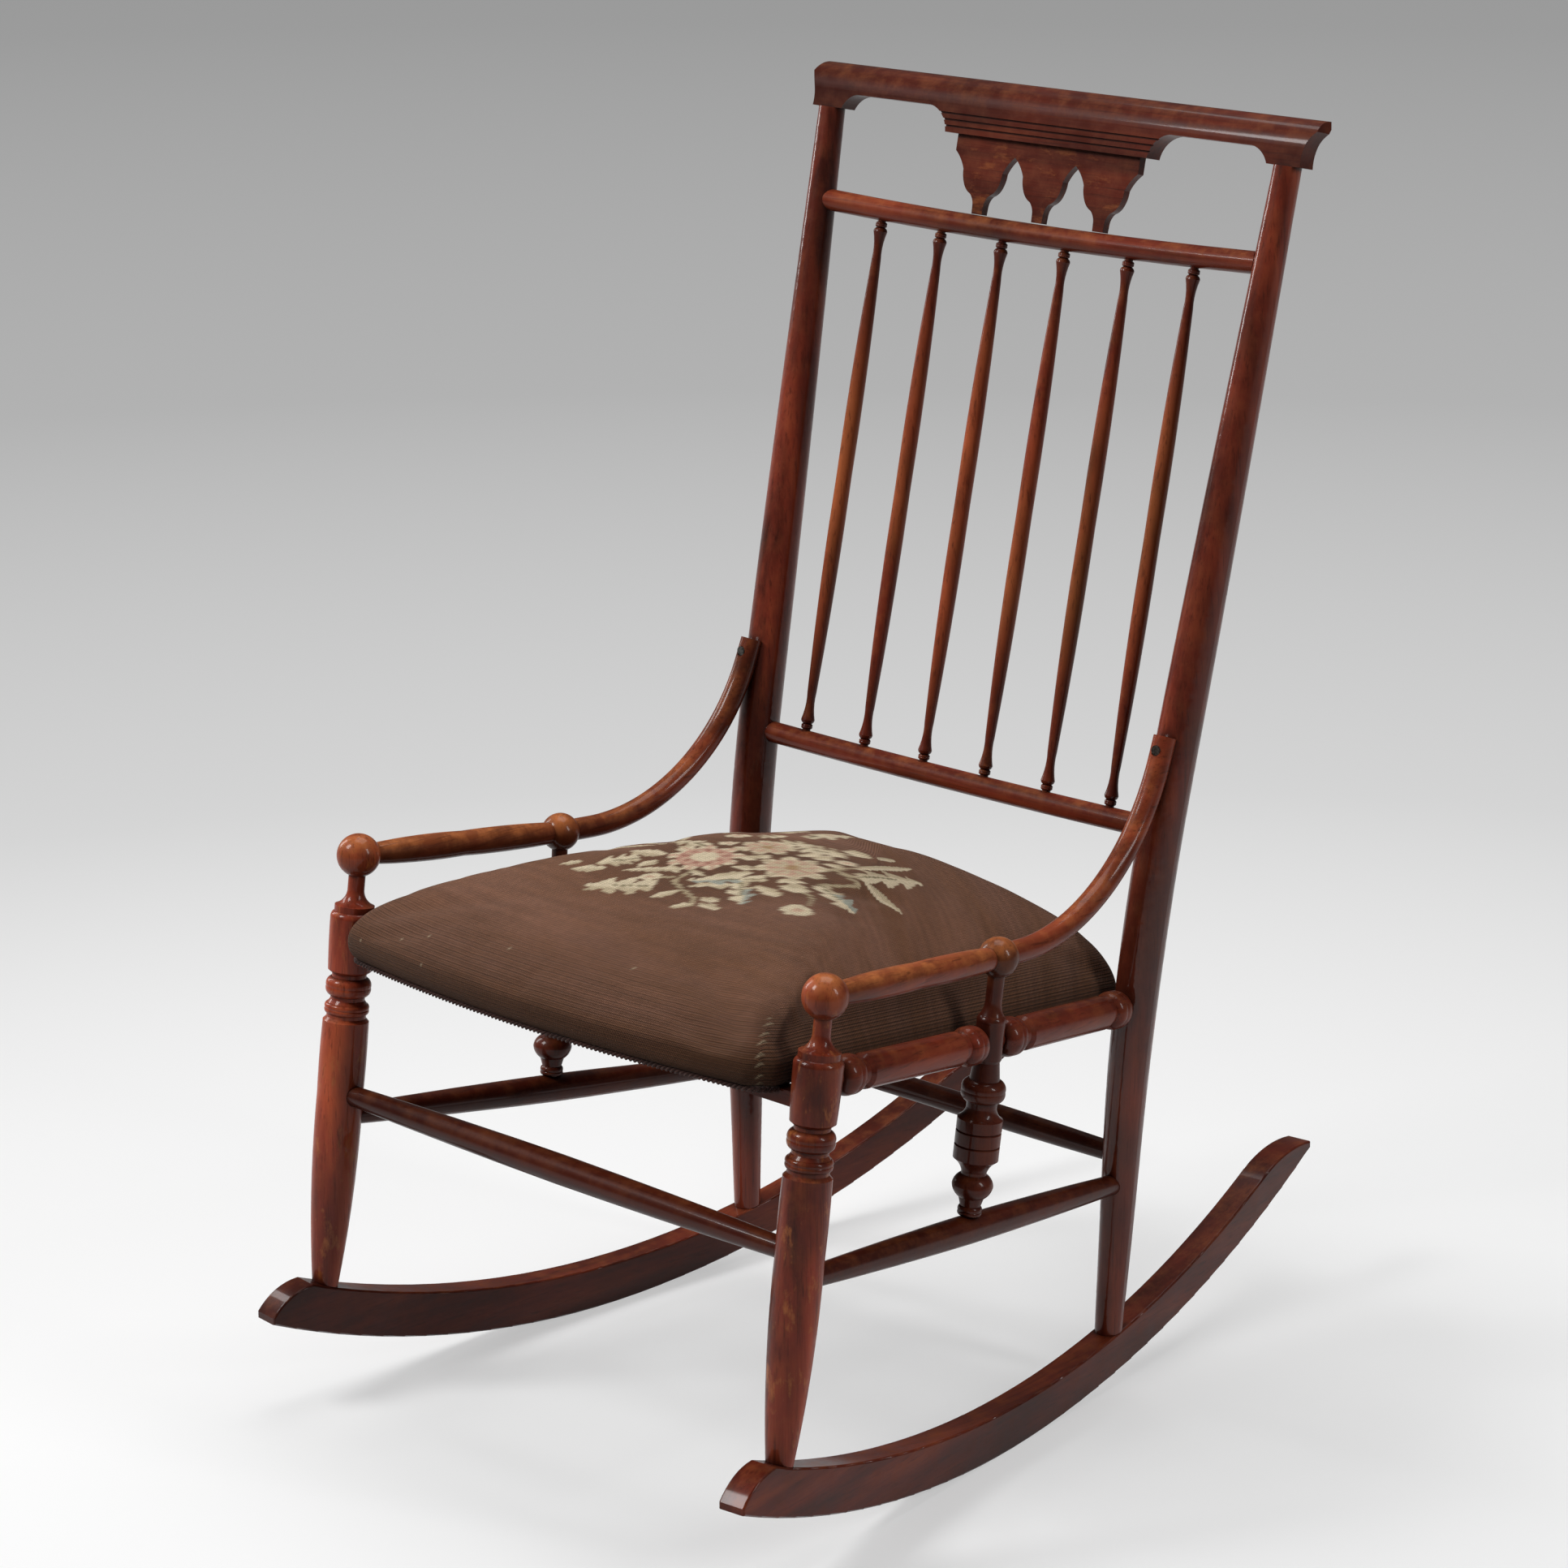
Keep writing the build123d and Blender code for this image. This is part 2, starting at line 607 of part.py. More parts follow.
# Balusters: levels run up the axis from the side stretcher's axis to the arm ball
foot_level = stretcher_belly_diameter / 2 + cope_gap
bulb_level = foot_level + baluster_bulb_rise
drum_level = bulb_level + baluster_drum_rise
drum_top = drum_level + baluster_drum_length
bead_level = drum_top + baluster_bead_rise
barrel_low = barrel_level - side_rail_neck_diameter
barrel_high = barrel_level + side_rail_neck_diameter
throat_level = arm_ball_level - arm_ball_diameter / 2 - baluster_throat_drop
scribe_levels = (drum_level + baluster_drum_length * 0.35, drum_level + baluster_drum_length * 0.7)


def scribed(level):
    # a fine line cut round the drum
    cut = baluster_drum_diameter - 2 * baluster_scribe
    half = baluster_scribe
    return [(baluster_drum_diameter, level - half), (cut, level), (baluster_drum_diameter, level + half)]


baluster_steps = [
    (baluster_tenon_diameter, -stretcher_tenon_end),
    (baluster_tenon_diameter, foot_level),
    (baluster_foot_diameter - 2, foot_level),
    (baluster_foot_diameter, foot_level + 3, 0.8),
    (baluster_foot_diameter - 2, foot_level + 7, 0.8),
    (baluster_waist_diameter, bulb_level - 9),
    (baluster_bulb_diameter, bulb_level, 1.2),
    (baluster_waist_diameter, bulb_level + 8, 1.2),
    (baluster_waist_diameter, bulb_level + 10),
    (baluster_drum_diameter, drum_level, -1.0),
    *scribed(scribe_levels[0]),
    *scribed(scribe_levels[1]),
    (baluster_drum_diameter, drum_top),
    (baluster_neck_diameter, drum_top + 8, -1.2),
    (baluster_neck_diameter, bead_level - 8),
    (baluster_bead_diameter, bead_level, 2.0),
    (baluster_neck_diameter, bead_level + 8, 2.0),
    (baluster_barrel_diameter - 2, barrel_low),
    (baluster_barrel_diameter, barrel_low + 2),
    (baluster_barrel_diameter, barrel_high),
    (baluster_throat_diameter + 5, barrel_high + 5, 0.8),
    (baluster_throat_diameter, throat_level, -1.0),
    (baluster_throat_diameter, arm_ball_level - arm_ball_diameter / 2 + 1.5),
]
baluster_blank = turned(baluster_foot, arm_ball, baluster_steps)
with BuildPart() as baluster_left:
    add(baluster_blank.part)
    with Locations(arm_ball):
        Sphere(arm_ball_diameter / 2)
    bore(arm_ball - arm_rod_run * arm_ball_diameter, arm_ball + arm_rod_run * arm_tip, arm_rod_end_diameter)
    bore(arm_ball + arm_bow_out * arm_ball_diameter, arm_ball - arm_bow_out * arm_tip, arm_rod_end_diameter)
    bore(barrel_joint - side_rail_run * baluster_barrel_diameter, barrel_joint - side_rail_run * 2.5,
         side_rail_thin_diameter)
    bore(barrel_joint + rear_rail_run * baluster_barrel_diameter, barrel_joint + rear_rail_run * 2.5,
         side_rail_thin_diameter)
write_pair(baluster_left, "baluster")


# Turned side rails, each in two lengths that meet at the baluster
def side_rail_steps(length, thick_radius):
    # from the leg or post, of the radius given, to the baluster's barrel
    first = thick_radius + 3.0
    last = length - baluster_barrel_diameter / 2 - 1.5
    bulb, groove = side_rail_bulb_length, side_rail_groove_width
    return [
        (side_rail_neck_diameter, -stretcher_tenon_end),
        (side_rail_neck_diameter, first),
        (side_rail_bulb_diameter, first + bulb / 2, 2.6),
        (side_rail_groove_diameter, first + bulb - 3, 1.6),
        (side_rail_groove_diameter, first + bulb - 3 + groove),
        (side_rail_diameter, first + bulb + groove),
        (side_rail_diameter, last - bulb - groove),
        (side_rail_groove_diameter, last - bulb - groove + 3),
        (side_rail_groove_diameter, last - bulb + 3),
        (side_rail_bulb_diameter, last - bulb / 2, 1.6),
        (side_rail_thin_diameter + 2, last, 2.6),
        (side_rail_thin_diameter, last),
        (side_rail_thin_diameter, length - 3.0),
    ]


front_rail_length = (barrel_joint - side_rail_front).length
front_side_rail_left = turned(side_rail_front, barrel_joint,
                              side_rail_steps(front_rail_length, leg_barrel_diameter / 2))
write_pair(front_side_rail_left, "front_side_rail")

rear_rail_length = (side_rail_back - barrel_joint).length
rear_side_rail_left = turned(side_rail_back, barrel_joint,
                             side_rail_steps(rear_rail_length, post_seat_diameter / 2))
write_pair(rear_side_rail_left, "rear_side_rail")

# Flat seat rails between the front legs and between the rear posts



def seat_point(x, back, up):
    return seat_origin + Vector(x, 0, 0) + seat_slope.normalized() * back + seat_up * up


rear_screw_back = seat_depth - tack_head_diameter
seat_screw_feet = [(side * seat_screw_half, back) for side in (-1, 1) for back in (0, rear_screw_back)]
rail_foot = seat_rail_top - seat_rail_depth
for end, blank, name in ((front_rail_end, leg_blank, "front_seat_rail"),
                         (rear_rail_end, post_blank(0), "rear_seat_rail")):
    with BuildPart() as seat_rail:
        add(flat_rail_bar(end, seat_rail_depth, seat_rail_thickness, 0))
        add(blank.part, mode=Mode.SUBTRACT)
        add(mirror(blank.part, about=middle, mode=Mode.PRIVATE), mode=Mode.SUBTRACT)
        add(flat_rail_bar(end, seat_rail_tenon, seat_rail_tenon, stretcher_tenon_end))
        for x, back in seat_screw_feet:
            peg(seat_point(x, back, rail_foot - blind_end), seat_point(x, back, seat_rail_top + blind_end),
                seat_screw_diameter + 2 * tenon_play, Mode.SUBTRACT)
    write(seat_rail, name)

# Arms: a straight rod in front, a bent bow that climbs to the rear post
arm_rod_length = (arm_ball - leg_ball).length
rod_first = leg_ball_diameter / 2
rod_last = arm_rod_length - arm_ball_diameter / 2
arm_rod_left = turned(leg_ball, arm_ball, [
    (arm_rod_end_diameter, rod_first - arm_socket_depth),
    (arm_rod_end_diameter, rod_first),
    (arm_rod_diameter, (rod_first + rod_last) / 2, 1.2),
    (arm_rod_end_diameter + 1, rod_last, 0.8),
    (arm_rod_end_diameter, rod_last),
    (arm_rod_end_diameter, rod_last + arm_socket_depth),
])
write_pair(arm_rod_left, "arm_rod")

post_cope = post_blank(cope_gap)
with BuildPart() as arm_bow_left:
    with BuildLine(arm_bow_plane) as bow_path:
        Line(bow_first, bow_tangent)
        ThreePointArc(bow_tangent, bow_turn_middle, bow_turn_end)
        Line(bow_turn_end, bow_tail)
    with BuildSketch(Plane(origin=bow_path.line @ 0, z_dir=bow_path.line % 0)):
        Circle(arm_bow_diameter / 2)
    sweep(path=bow_path.line)
    with Locations(arm_ball):
        Sphere(arm_ball_diameter / 2 + cope_gap, mode=Mode.SUBTRACT)
    peg(arm_ball + arm_bow_out * arm_ball_diameter, arm_ball - arm_bow_out * arm_tip, arm_rod_end_diameter)
    add(post_cope.part, mode=Mode.SUBTRACT)
    bore(arm_screw_front - arm_bow_run * arm_bow_diameter, arm_screw_seat - arm_bow_run * blind_end,
         arm_screw_head_diameter)
    bore(arm_screw_front, arm_screw_tip, arm_screw_diameter)
write_pair(arm_bow_left, "arm_bow")

with BuildPart() as arm_screws:
    for side in (1, -1):
        front, seat, tip = [Vector(side * point.X, point.Y, point.Z)
                            for point in (arm_screw_front, arm_screw_seat, arm_screw_tip)]
        peg(front, seat, arm_screw_head_diameter)
        peg(seat, tip, arm_screw_diameter)
write(arm_screws, "arm_screws")

# Cross rails of the back
spindle_places = [(place - (spindle_count - 1) / 2) * spindle_pitch for place in range(spindle_count)]
spindle_sink = cross_rail_diameter / 2 - spindle_tenon_length
for end, sag, run, up, name in (
    (lower_rail_end, lower_rail_sag, lower_rail_run, 1, "lower_cross_rail"),
    (upper_rail_end, upper_rail_sag, upper_rail_run, -1, "upper_cross_rail"),
):
    with BuildPart() as cross_rail:
        with BuildLine() as rail_path:
            ThreePointArc(mirrored(end), cross_rail_point(end, sag, 0), end)
        with BuildSketch(Plane(origin=rail_path.line @ 0, z_dir=rail_path.line % 0)):
            Circle(cross_rail_diameter / 2)
        sweep(path=rail_path.line)
        post_reach = post_direction(end.Z) * cross_rail_diameter
        post_room = post_diameter(end.Z - cross_rail_diameter / 2) + 2 * cope_gap
        inner = end - run * post_seat_diameter
        outer = end + run * stretcher_tenon_end
        for place in (Vector, mirrored):
            peg(place(end - post_reach), place(end + post_reach), post_room, Mode.SUBTRACT)
            peg(place(inner), place(outer), cross_rail_tenon)
        for place in spindle_places:
            centre = cross_rail_point(end, sag, place)
            far = cross_rail_point(lower_rail_end, lower_rail_sag, place)
            toward = (cross_rail_point(upper_rail_end, upper_rail_sag, place) - far).normalized() * up
            bore(centre + toward * cross_rail_diameter, centre + toward * spindle_sink,
                 spindle_tenon_diameter)
    write(cross_rail, name)


# Back spindles, the same turning at both ends
def spindle_steps(length):
    clear = cross_rail_diameter / 2 + 1.0
    flare = clear + spindle_bead_height
    neck = flare + spindle_flare_height
    half = [
        (spindle_tenon_diameter, spindle_sink),
        (spindle_tenon_diameter, clear),
        (spindle_bead_diameter, clear + spindle_bead_height / 2, 0.6),
        (spindle_tenon_diameter, flare, 0.6),
        (spindle_flare_diameter, flare + 3.0, 0.5),
    ]
    other = [(half[-1][0], length - half[-1][1])]
    other += [(half[3][0], length - half[3][1], 0.5), (half[2][0], length - half[2][1], 0.6),
              (half[1][0], length - half[1][1], 0.6), (half[0][0], length - half[0][1])]
    body = [
        (spindle_neck_diameter, neck, -1.0),
        (spindle_belly_diameter, length / 2, 1.0),
        (spindle_neck_diameter, length - neck, 1.0),
        (*other[0], -1.0),
    ]
    return half + body + other[1:]


for number, place in enumerate(spindle_places, 1):
    spindle_low = cross_rail_point(lower_rail_end, lower_rail_sag, place)
    spindle_high = cross_rail_point(upper_rail_end, upper_rail_sag, place)
    spindle = turned(spindle_low, spindle_high, spindle_steps((spindle_high - spindle_low).length))
    write(spindle, f"spindle_{number}")

# Crest rail: a moulded section along its length, cut to the outline seen from the front
crest_section_plane = Plane(origin=crest_plane.origin, x_dir=back_front, z_dir=(-1, 0, 0))
nose_round = crest_nose_radius * (1 - sqrt(0.5))
nose_middle = (crest_front - nose_round, crest_height - nose_round)
crest_hollow = crest_height * 0.45
bracket_start = crest_lobe_inner - crest_bracket
cove_end = pediment_half + pediment_cove
cove_middle = (pediment_half + pediment_cove * 0.33,
               crest_web_height - (crest_web_height + pediment_drop) * 0.33)
bracket_middle = (bracket_start + crest_bracket * 0.63, crest_web_height * 0.63)
ear_level = crest_height * 0.75
ear_middle = ((crest_lobe_outer + crest_half_length) / 2 - 2.2, ear_level * 0.6)
board_front = crest_front - pendant_setback
board_middle = board_front - pendant_thickness / 2
pendant_width = pendant_count * pendant_pitch
tongue_length = pendant_width - 2 * pendant_tongue
with BuildPart() as crest_rail:
    with BuildSketch(crest_section_plane):
        with BuildLine():
            Line((-crest_back, -pediment_drop), (crest_front, -pediment_drop))
            Line((crest_front, -pediment_drop), (crest_front, crest_height - crest_nose_radius))
            ThreePointArc((crest_front, crest_height - crest_nose_radius), nose_middle,
                          (crest_front - crest_nose_radius, crest_height))
            Line((crest_front - crest_nose_radius, crest_height), (-crest_back - crest_roll, crest_height))
            Line((-crest_back - crest_roll, crest_height),
                 (-crest_back - crest_roll, crest_height - crest_roll))
            ThreePointArc((-crest_back - crest_roll, crest_height - crest_roll),
                          (-crest_back - crest_roll / 4, crest_height * 0.66), (-crest_back, crest_hollow))
            Line((-crest_back, crest_hollow), (-crest_back, -pediment_drop))
        make_face()
    extrude(amount=crest_half_length + crest_roll, both=True)
    with BuildSketch(crest_plane):
        with BuildLine():
            Line((0, -pediment_drop), (pediment_half, -pediment_drop))
            ThreePointArc((pediment_half, -pediment_drop), cove_middle, (cove_end, crest_web_height))
            Line((cove_end, crest_web_height), (bracket_start, crest_web_height))
            ThreePointArc((bracket_start, crest_web_height), bracket_middle, (crest_lobe_inner, 0))
            Line((crest_lobe_inner, 0), (crest_lobe_outer, 0))
            ThreePointArc((crest_lobe_outer, 0), ear_middle, (crest_half_length, ear_level))
            Line((crest_half_length, ear_level),
                 (crest_half_length - crest_roll / 2, crest_height + crest_roll))
            Line((crest_half_length - crest_roll / 2, crest_height + crest_roll),
                 (0, crest_height + crest_roll))
            mirror(about=Plane.YZ)
        make_face()
    extrude(amount=2 * crest_height, both=True, mode=Mode.INTERSECT)
    for line in range(3):
        level = pediment_groove_pitch * (line + 1) - pediment_drop
        with Locations(crest_plane * Pos(0, level, crest_front)):
            Box(2 * cove_end, pediment_groove, 2 * pediment_groove, mode=Mode.SUBTRACT)
    with Locations(crest_plane * Pos(0, -pediment_drop, board_middle)):
        Box(tongue_length + 2 * tenon_play, 2 * (pendant_tongue + blind_end), pendant_tongue + 2 * tenon_play,
            mode=Mode.SUBTRACT)
    top_run = post_direction(post_height)
    for side in (1, -1):
        low = post_top - top_run * foot_depth
        high = post_top + top_run * post_tenon_length
        bore(Vector(side * low.X, low.Y, low.Z), Vector(side * high.X, high.Y, high.Z), post_tenon_diameter)
write(crest_rail, "crest_rail")

# Pendant board: three drops whose tips stand just clear of the upper cross rail
rail_crown = cross_rail_point(upper_rail_end, upper_rail_sag, pendant_pitch) - crest_plane.origin
tip_level = rail_crown.dot(back_up) + cross_rail_diameter / 2 + pendant_tip_gap
cusp_level = -pediment_drop - pendant_shoulder
drop_height = cusp_level - tip_level


def drop_side(centre, side):
    # one edge of a drop, from the cusp to the tip
    def spot(width, share):
        return (centre + side * width / 2, cusp_level - drop_height * share)

    belly, tip = pendant_belly_width, pendant_tip_width
    ThreePointArc(spot(pendant_pitch, 0), spot(belly + 9, 0.14), spot(belly + 1.5, 0.29))
    ThreePointArc(spot(belly + 1.5, 0.29), spot(belly + 0.4, 0.4), spot(belly - 3, 0.51))
    ThreePointArc(spot(belly - 3, 0.51), spot(belly - 8, 0.6), spot(belly / 2, 0.68))
    ThreePointArc(spot(belly / 2, 0.68), spot(tip + 2.6, 0.77), spot(tip + 0.6, 0.87))
    Line(spot(tip + 0.6, 0.87), spot(tip, 1))


with BuildPart() as pendant_board:
    with BuildSketch(crest_plane.offset(board_front)):
        with BuildLine():
            half_board = pendant_width / 2
            Line((-half_board, cusp_level), (-half_board, -pediment_drop))
            Line((-half_board, -pediment_drop), (half_board, -pediment_drop))
            Line((half_board, -pediment_drop), (half_board, cusp_level))
            for number in range(pendant_count):
                drop_centre = (number - (pendant_count - 1) / 2) * pendant_pitch
                drop_side(drop_centre, -1)
                drop_side(drop_centre, 1)
                tip_left = (drop_centre - pendant_tip_width / 2, tip_level)
                tip_right = (drop_centre + pendant_tip_width / 2, tip_level)
                Line(tip_left, tip_right)
        make_face()
    extrude(amount=-pendant_thickness)
    with Locations(crest_plane * Pos(0, -pediment_drop, board_middle)):
        Box(tongue_length, 2 * pendant_tongue, pendant_tongue)
write(pendant_board, "pendant_board")

# Upholstered seat: levels of its layers over the plane of the side rails
frame_low = seat_rail_top + sheet_thickness
frame_high = frame_low + frame_thickness
strap_high = frame_high + 2 * strap_thickness
hessian_high = strap_high + sheet_thickness
seat_front = -seat_front_overhang
seat_rear = seat_depth + seat_rear_overhang


def rounded_corner(point, come, go, radius):
    # tangent points and middle of a rounded corner between two directions
    turn = come.get_angle(go)
    reach = radius * tan(radians(turn / 2))
    inward = (go - come).normalized()
    depth = radius / cos(radians(turn / 2)) - radius
    return point - come * reach, point + inward * depth, point + go * reach


def seat_corners(inset, share=0):
    # middle of the bowed front, then the points of the rounded corners on the left side; the share
    # runs from 0 at the edge of the cushion to 1 at the top of its crown
    side_inset = inset + crown_side * share
    front_half, rear_half = seat_front_half - side_inset, seat_rear_half - side_inset
    front = seat_front + inset + crown_front * share
    rear = seat_rear - inset - crown_rear * share
    corner = seat_corner * (1 - 0.6 * share)
    bow = seat_front_bow * (1 - 0.6 * share)
    bow_angle = 2 * asin(bow / front_half / 1.02)
    front_go = Vector(cos(bow_angle), sin(bow_angle))
    side_go = Vector(rear_half - front_half, rear - front).normalized()
    points = rounded_corner(Vector(front_half, front), front_go, side_go, corner)
    points += rounded_corner(Vector(rear_half, rear), side_go, Vector(-1, 0), corner)
    return (0, front - bow), [(point.X, point.Y) for point in points]


def seat_outline(inset, share=0):
    # the cushion seen from above: bowed front, tapering sides, rounded corners
    front_middle, left = seat_corners(inset, share)
    right = [(-x, y) for x, y in left]
    Line(right[3], right[2])
    ThreePointArc(right[2], right[1], right[0])
    ThreePointArc(right[0], front_middle, left[0])
    ThreePointArc(left[0], left[1], left[2])
    Line(left[2], left[3])
    ThreePointArc(left[3], left[4], left[5])
    Line(left[5], right[5])
    ThreePointArc(right[5], right[4], right[3])


# Profile of the cushion from its hem to its crown: (inset from the outline, share of the crown, level)
cushion_rise = seat_crown - frame_high
cushion_profile = [
    (4.0, 0.0, frame_low),
    (1.0, 0.0, frame_low + frame_thickness * 0.45),
    (0.0, 0.0, frame_high),
    (0.0, 0.03, frame_high + cushion_rise * 0.105),
    (0.0, 0.1, frame_high + cushion_rise * 0.245),
    (0.0, 0.2, frame_high + cushion_rise * 0.39),
    (0.0, 0.35, frame_high + cushion_rise * 0.555),
    (0.0, 0.5, frame_high + cushion_rise * 0.695),
    (0.0, 0.7, frame_high + cushion_rise * 0.85),
    (0.0, 0.86, frame_high + cushion_rise * 0.955),
    (0.0, 1.0, seat_crown),
]


def sunk_profile(depth):
    # the cushion's profile moved inwards, square to its surface
    sunk = []
    last = len(cushion_profile) - 1
    for place, (inset, share, level) in enumerate(cushion_profile):
        before, after = cushion_profile[max(0, place - 1)], cushion_profile[min(last, place + 1)]
        run = after[0] - before[0] + (after[1] - before[1]) * crown_side
        rise = after[2] - before[2]
        if place == last:
            run, rise = 1.0, 0.0
        length = sqrt(run * run + rise * rise)
        sunk.append((inset + depth * rise / length, share, level - depth * run / length))
    return sunk


def cushion(profile):
    with BuildPart() as body:
        for inset, share, level in profile:
            with BuildSketch(seat_plane.offset(level)):
                with BuildLine():
                    seat_outline(inset, share)
                make_face()
        loft(ruled=True)
    return body


# The cover is a skin between two cushion surfaces, open below and closed along its hem
inner_profile = sunk_profile(cover_thickness)
inner_profile[0] = (inner_profile[0][0], 0.0, frame_low)
seat_axis = Axis(seat_origin, seat_up)
outer_faces = cushion(cushion_profile).faces().sort_by(seat_axis)
inner_faces = cushion(inner_profile).faces().sort_by(seat_axis)
hem = Face(outer_faces[0].outer_wire(), [inner_faces[0].outer_wire()])
with BuildPart() as seat_cover:
    add(Solid(Shell([hem, *outer_faces[1:], *inner_faces[1:]])))
write(seat_cover, "seat_cover")

stuffing_body = cushion(sunk_profile(cover_thickness + cover_gap))
with BuildPart() as seat_stuffing:
    add(stuffing_body.part)
    split(bisect_by=seat_plane.offset(hessian_high + cover_gap), keep=Keep.TOP)
write(seat_stuffing, "seat_stuffing")

# Frame of the seat: front and rear rails across, side rails tenoned between them
front_edge = seat_front + frame_inset + frame_rail_width
rear_edge = seat_rear - frame_inset - frame_rail_width
side_taper = (seat_front_half - seat_rear_half) / (seat_rear - seat_front)


def seat_half(back):
    return seat_front_half - side_taper * (back - seat_front)


side_middle = frame_inset + frame_rail_width / 2
frame_level = frame_low + frame_thickness / 2
tack_rows = []
for step in range(tacks_across):
    share = (step + 0.5) / tacks_across * 2 - 1
    tack_rows.append((share * (seat_front_half - 2 * seat_corner), seat_front + 0.2 * seat_corner))
    tack_rows.append((share * (seat_rear_half - 2 * seat_corner), rear_edge + 0.4 * seat_corner))
side_first, side_last = front_edge + seat_corner, rear_edge - seat_corner
for step in range(tacks_along):
    back = side_first + (side_last - side_first) * step / (tacks_along - 1)
    for side in (1, -1):
        tack_rows.append((side * (seat_half(back) - side_middle), back))


def frame_block():
    # the whole plate that the frame is cut from
    with BuildPart() as plate:
        with BuildSketch(seat_plane.offset(frame_low)):
            with BuildLine():
                seat_outline(frame_inset)
            make_face()
        extrude(amount=frame_thickness)
    return plate


def frame_holes():
    # holes for the tacks and for the seat screws
    for x, back in tack_rows:
        peg(seat_point(x, back, seat_rail_top - blind_end),
            seat_point(x, back, seat_rail_top + tack_length + 1),
            tack_shank_diameter + 2 * tenon_play, Mode.SUBTRACT)
    for x, back in seat_screw_feet:
        peg(seat_point(x, back, rail_foot), seat_point(x, back, rail_foot + seat_screw_length + 1),
            seat_screw_diameter + 2 * tenon_play, Mode.SUBTRACT)


frame_plate = frame_block()
for edge, toward, name in ((front_edge, -1, "seat_frame_front"), (rear_edge, 1, "seat_frame_rear")):
    with BuildPart() as frame_rail:
        add(frame_plate.part)
        split(bisect_by=Plane(origin=seat_point(0, edge, 0), z_dir=seat_slope * toward), keep=Keep.TOP)
        tenon = seat_plane * Pos(seat_half(edge) - side_middle, edge, frame_level) * Box(
            frame_tenon_width + 2 * tenon_play, 2 * (frame_tenon_length + blind_end),
            frame_tenon_thickness + 2 * tenon_play, mode=Mode.PRIVATE)
        add(tenon, mode=Mode.SUBTRACT)
        add(mirror(tenon, about=middle, mode=Mode.PRIVATE), mode=Mode.SUBTRACT)
        frame_holes()
    write(frame_rail, name)

with BuildPart() as seat_frame_left:
    add(frame_plate.part)
    split(bisect_by=Plane(origin=seat_point(0, front_edge, 0), z_dir=seat_slope), keep=Keep.TOP)
    split(bisect_by=Plane(origin=seat_point(0, rear_edge, 0), z_dir=seat_slope), keep=Keep.BOTTOM)
    inner_front = seat_half(front_edge) - frame_inset - frame_rail_width
    inner_rear = seat_half(rear_edge) - frame_inset - frame_rail_width
    with BuildSketch(seat_plane.offset(frame_low)):
        with BuildLine():
            Polyline((inner_front, front_edge), (inner_rear, rear_edge), (-seat_front_half, rear_edge),
                     (-seat_front_half, front_edge), close=True)
        make_face()
    extrude(amount=frame_thickness, mode=Mode.SUBTRACT)
    for edge in (front_edge, rear_edge):
        tenon = seat_plane * Pos(seat_half(edge) - side_middle, edge, frame_level) * Box(
            frame_tenon_width, 2 * frame_tenon_length, frame_tenon_thickness, mode=Mode.PRIVATE)
        add(tenon)
    frame_holes()
write_pair(seat_frame_left, "seat_frame")

# Webbing in two crossed layers, hessian over it, lining under the frame
strap_inset = frame_inset + 6.0
with BuildPart() as seat_webbing:
    long_length = seat_rear - seat_front - 2 * strap_inset
    for number in range(strap_count):
        share = (number + 1) / (strap_count + 1) * 2 - 1
        with Locations(seat_plane * Pos(share * (seat_rear_half - strap_inset), (seat_front + seat_rear) / 2,
                                        frame_high + strap_thickness / 2)):
            Box(strap_width, long_length, strap_thickness)
        back = seat_front + (seat_rear - seat_front) * (number + 1) / (strap_count + 1)
        with Locations(seat_plane * Pos(0, back, frame_high + strap_thickness * 1.5)):
            Box(2 * (seat_half(back + strap_width / 2) - strap_inset), strap_width, strap_thickness)
write(seat_webbing, "seat_webbing")

for inset, level, name in ((frame_inset + 4.0, strap_high, "seat_hessian"),
                           (frame_inset + 2.0, seat_rail_top, "seat_lining")):
    with BuildPart() as sheet:
        with BuildSketch(seat_plane.offset(level)):
            with BuildLine():
                seat_outline(inset)
            make_face()
        extrude(amount=sheet_thickness)
        if name == "seat_lining":
            frame_holes()
    write(sheet, name)

# Piping under the hem, along the front and round both front corners
piping_level = frame_low - piping_diameter / 2 - cover_gap
piping_inset = cushion_profile[0][0] + piping_diameter / 2
piping_middle, piping_left = seat_corners(piping_inset)
with BuildPart() as seat_piping:
    with BuildLine(seat_plane.offset(piping_level)) as piping_path:
        front_line = ThreePointArc((-piping_left[0][0], piping_left[0][1]), piping_middle, piping_left[0])
        TangentArc(piping_left[0], piping_left[2], tangent=front_line % 1)
        TangentArc((-piping_left[0][0], piping_left[0][1]), (-piping_left[2][0], piping_left[2][1]),
                   tangent=(front_line % 0) * -1)
    piping_wire = piping_path.wire()
    with BuildSketch(Plane(origin=piping_wire @ 0, z_dir=piping_wire % 0)):
        Circle(piping_diameter / 2)
    sweep(path=piping_wire)
write(seat_piping, "seat_piping")

# Tacks of the lining and screws of the seat
with BuildPart() as seat_tacks:
    for x, back in tack_rows:
        peg(seat_point(x, back, seat_rail_top - tack_head_height), seat_point(x, back, seat_rail_top),
            tack_head_diameter)
        peg(seat_point(x, back, seat_rail_top), seat_point(x, back, seat_rail_top + tack_length),
            tack_shank_diameter)
write(seat_tacks, "seat_tacks")

with BuildPart() as seat_screws:
    for x, back in seat_screw_feet:
        peg(seat_point(x, back, rail_foot - seat_screw_head_height), seat_point(x, back, rail_foot),
            seat_screw_head_diameter)
        peg(seat_point(x, back, rail_foot), seat_point(x, back, rail_foot + seat_screw_length),
            seat_screw_diameter)
write(seat_screws, "seat_screws")
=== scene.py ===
import math
import random
import bpy
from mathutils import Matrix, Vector, noise


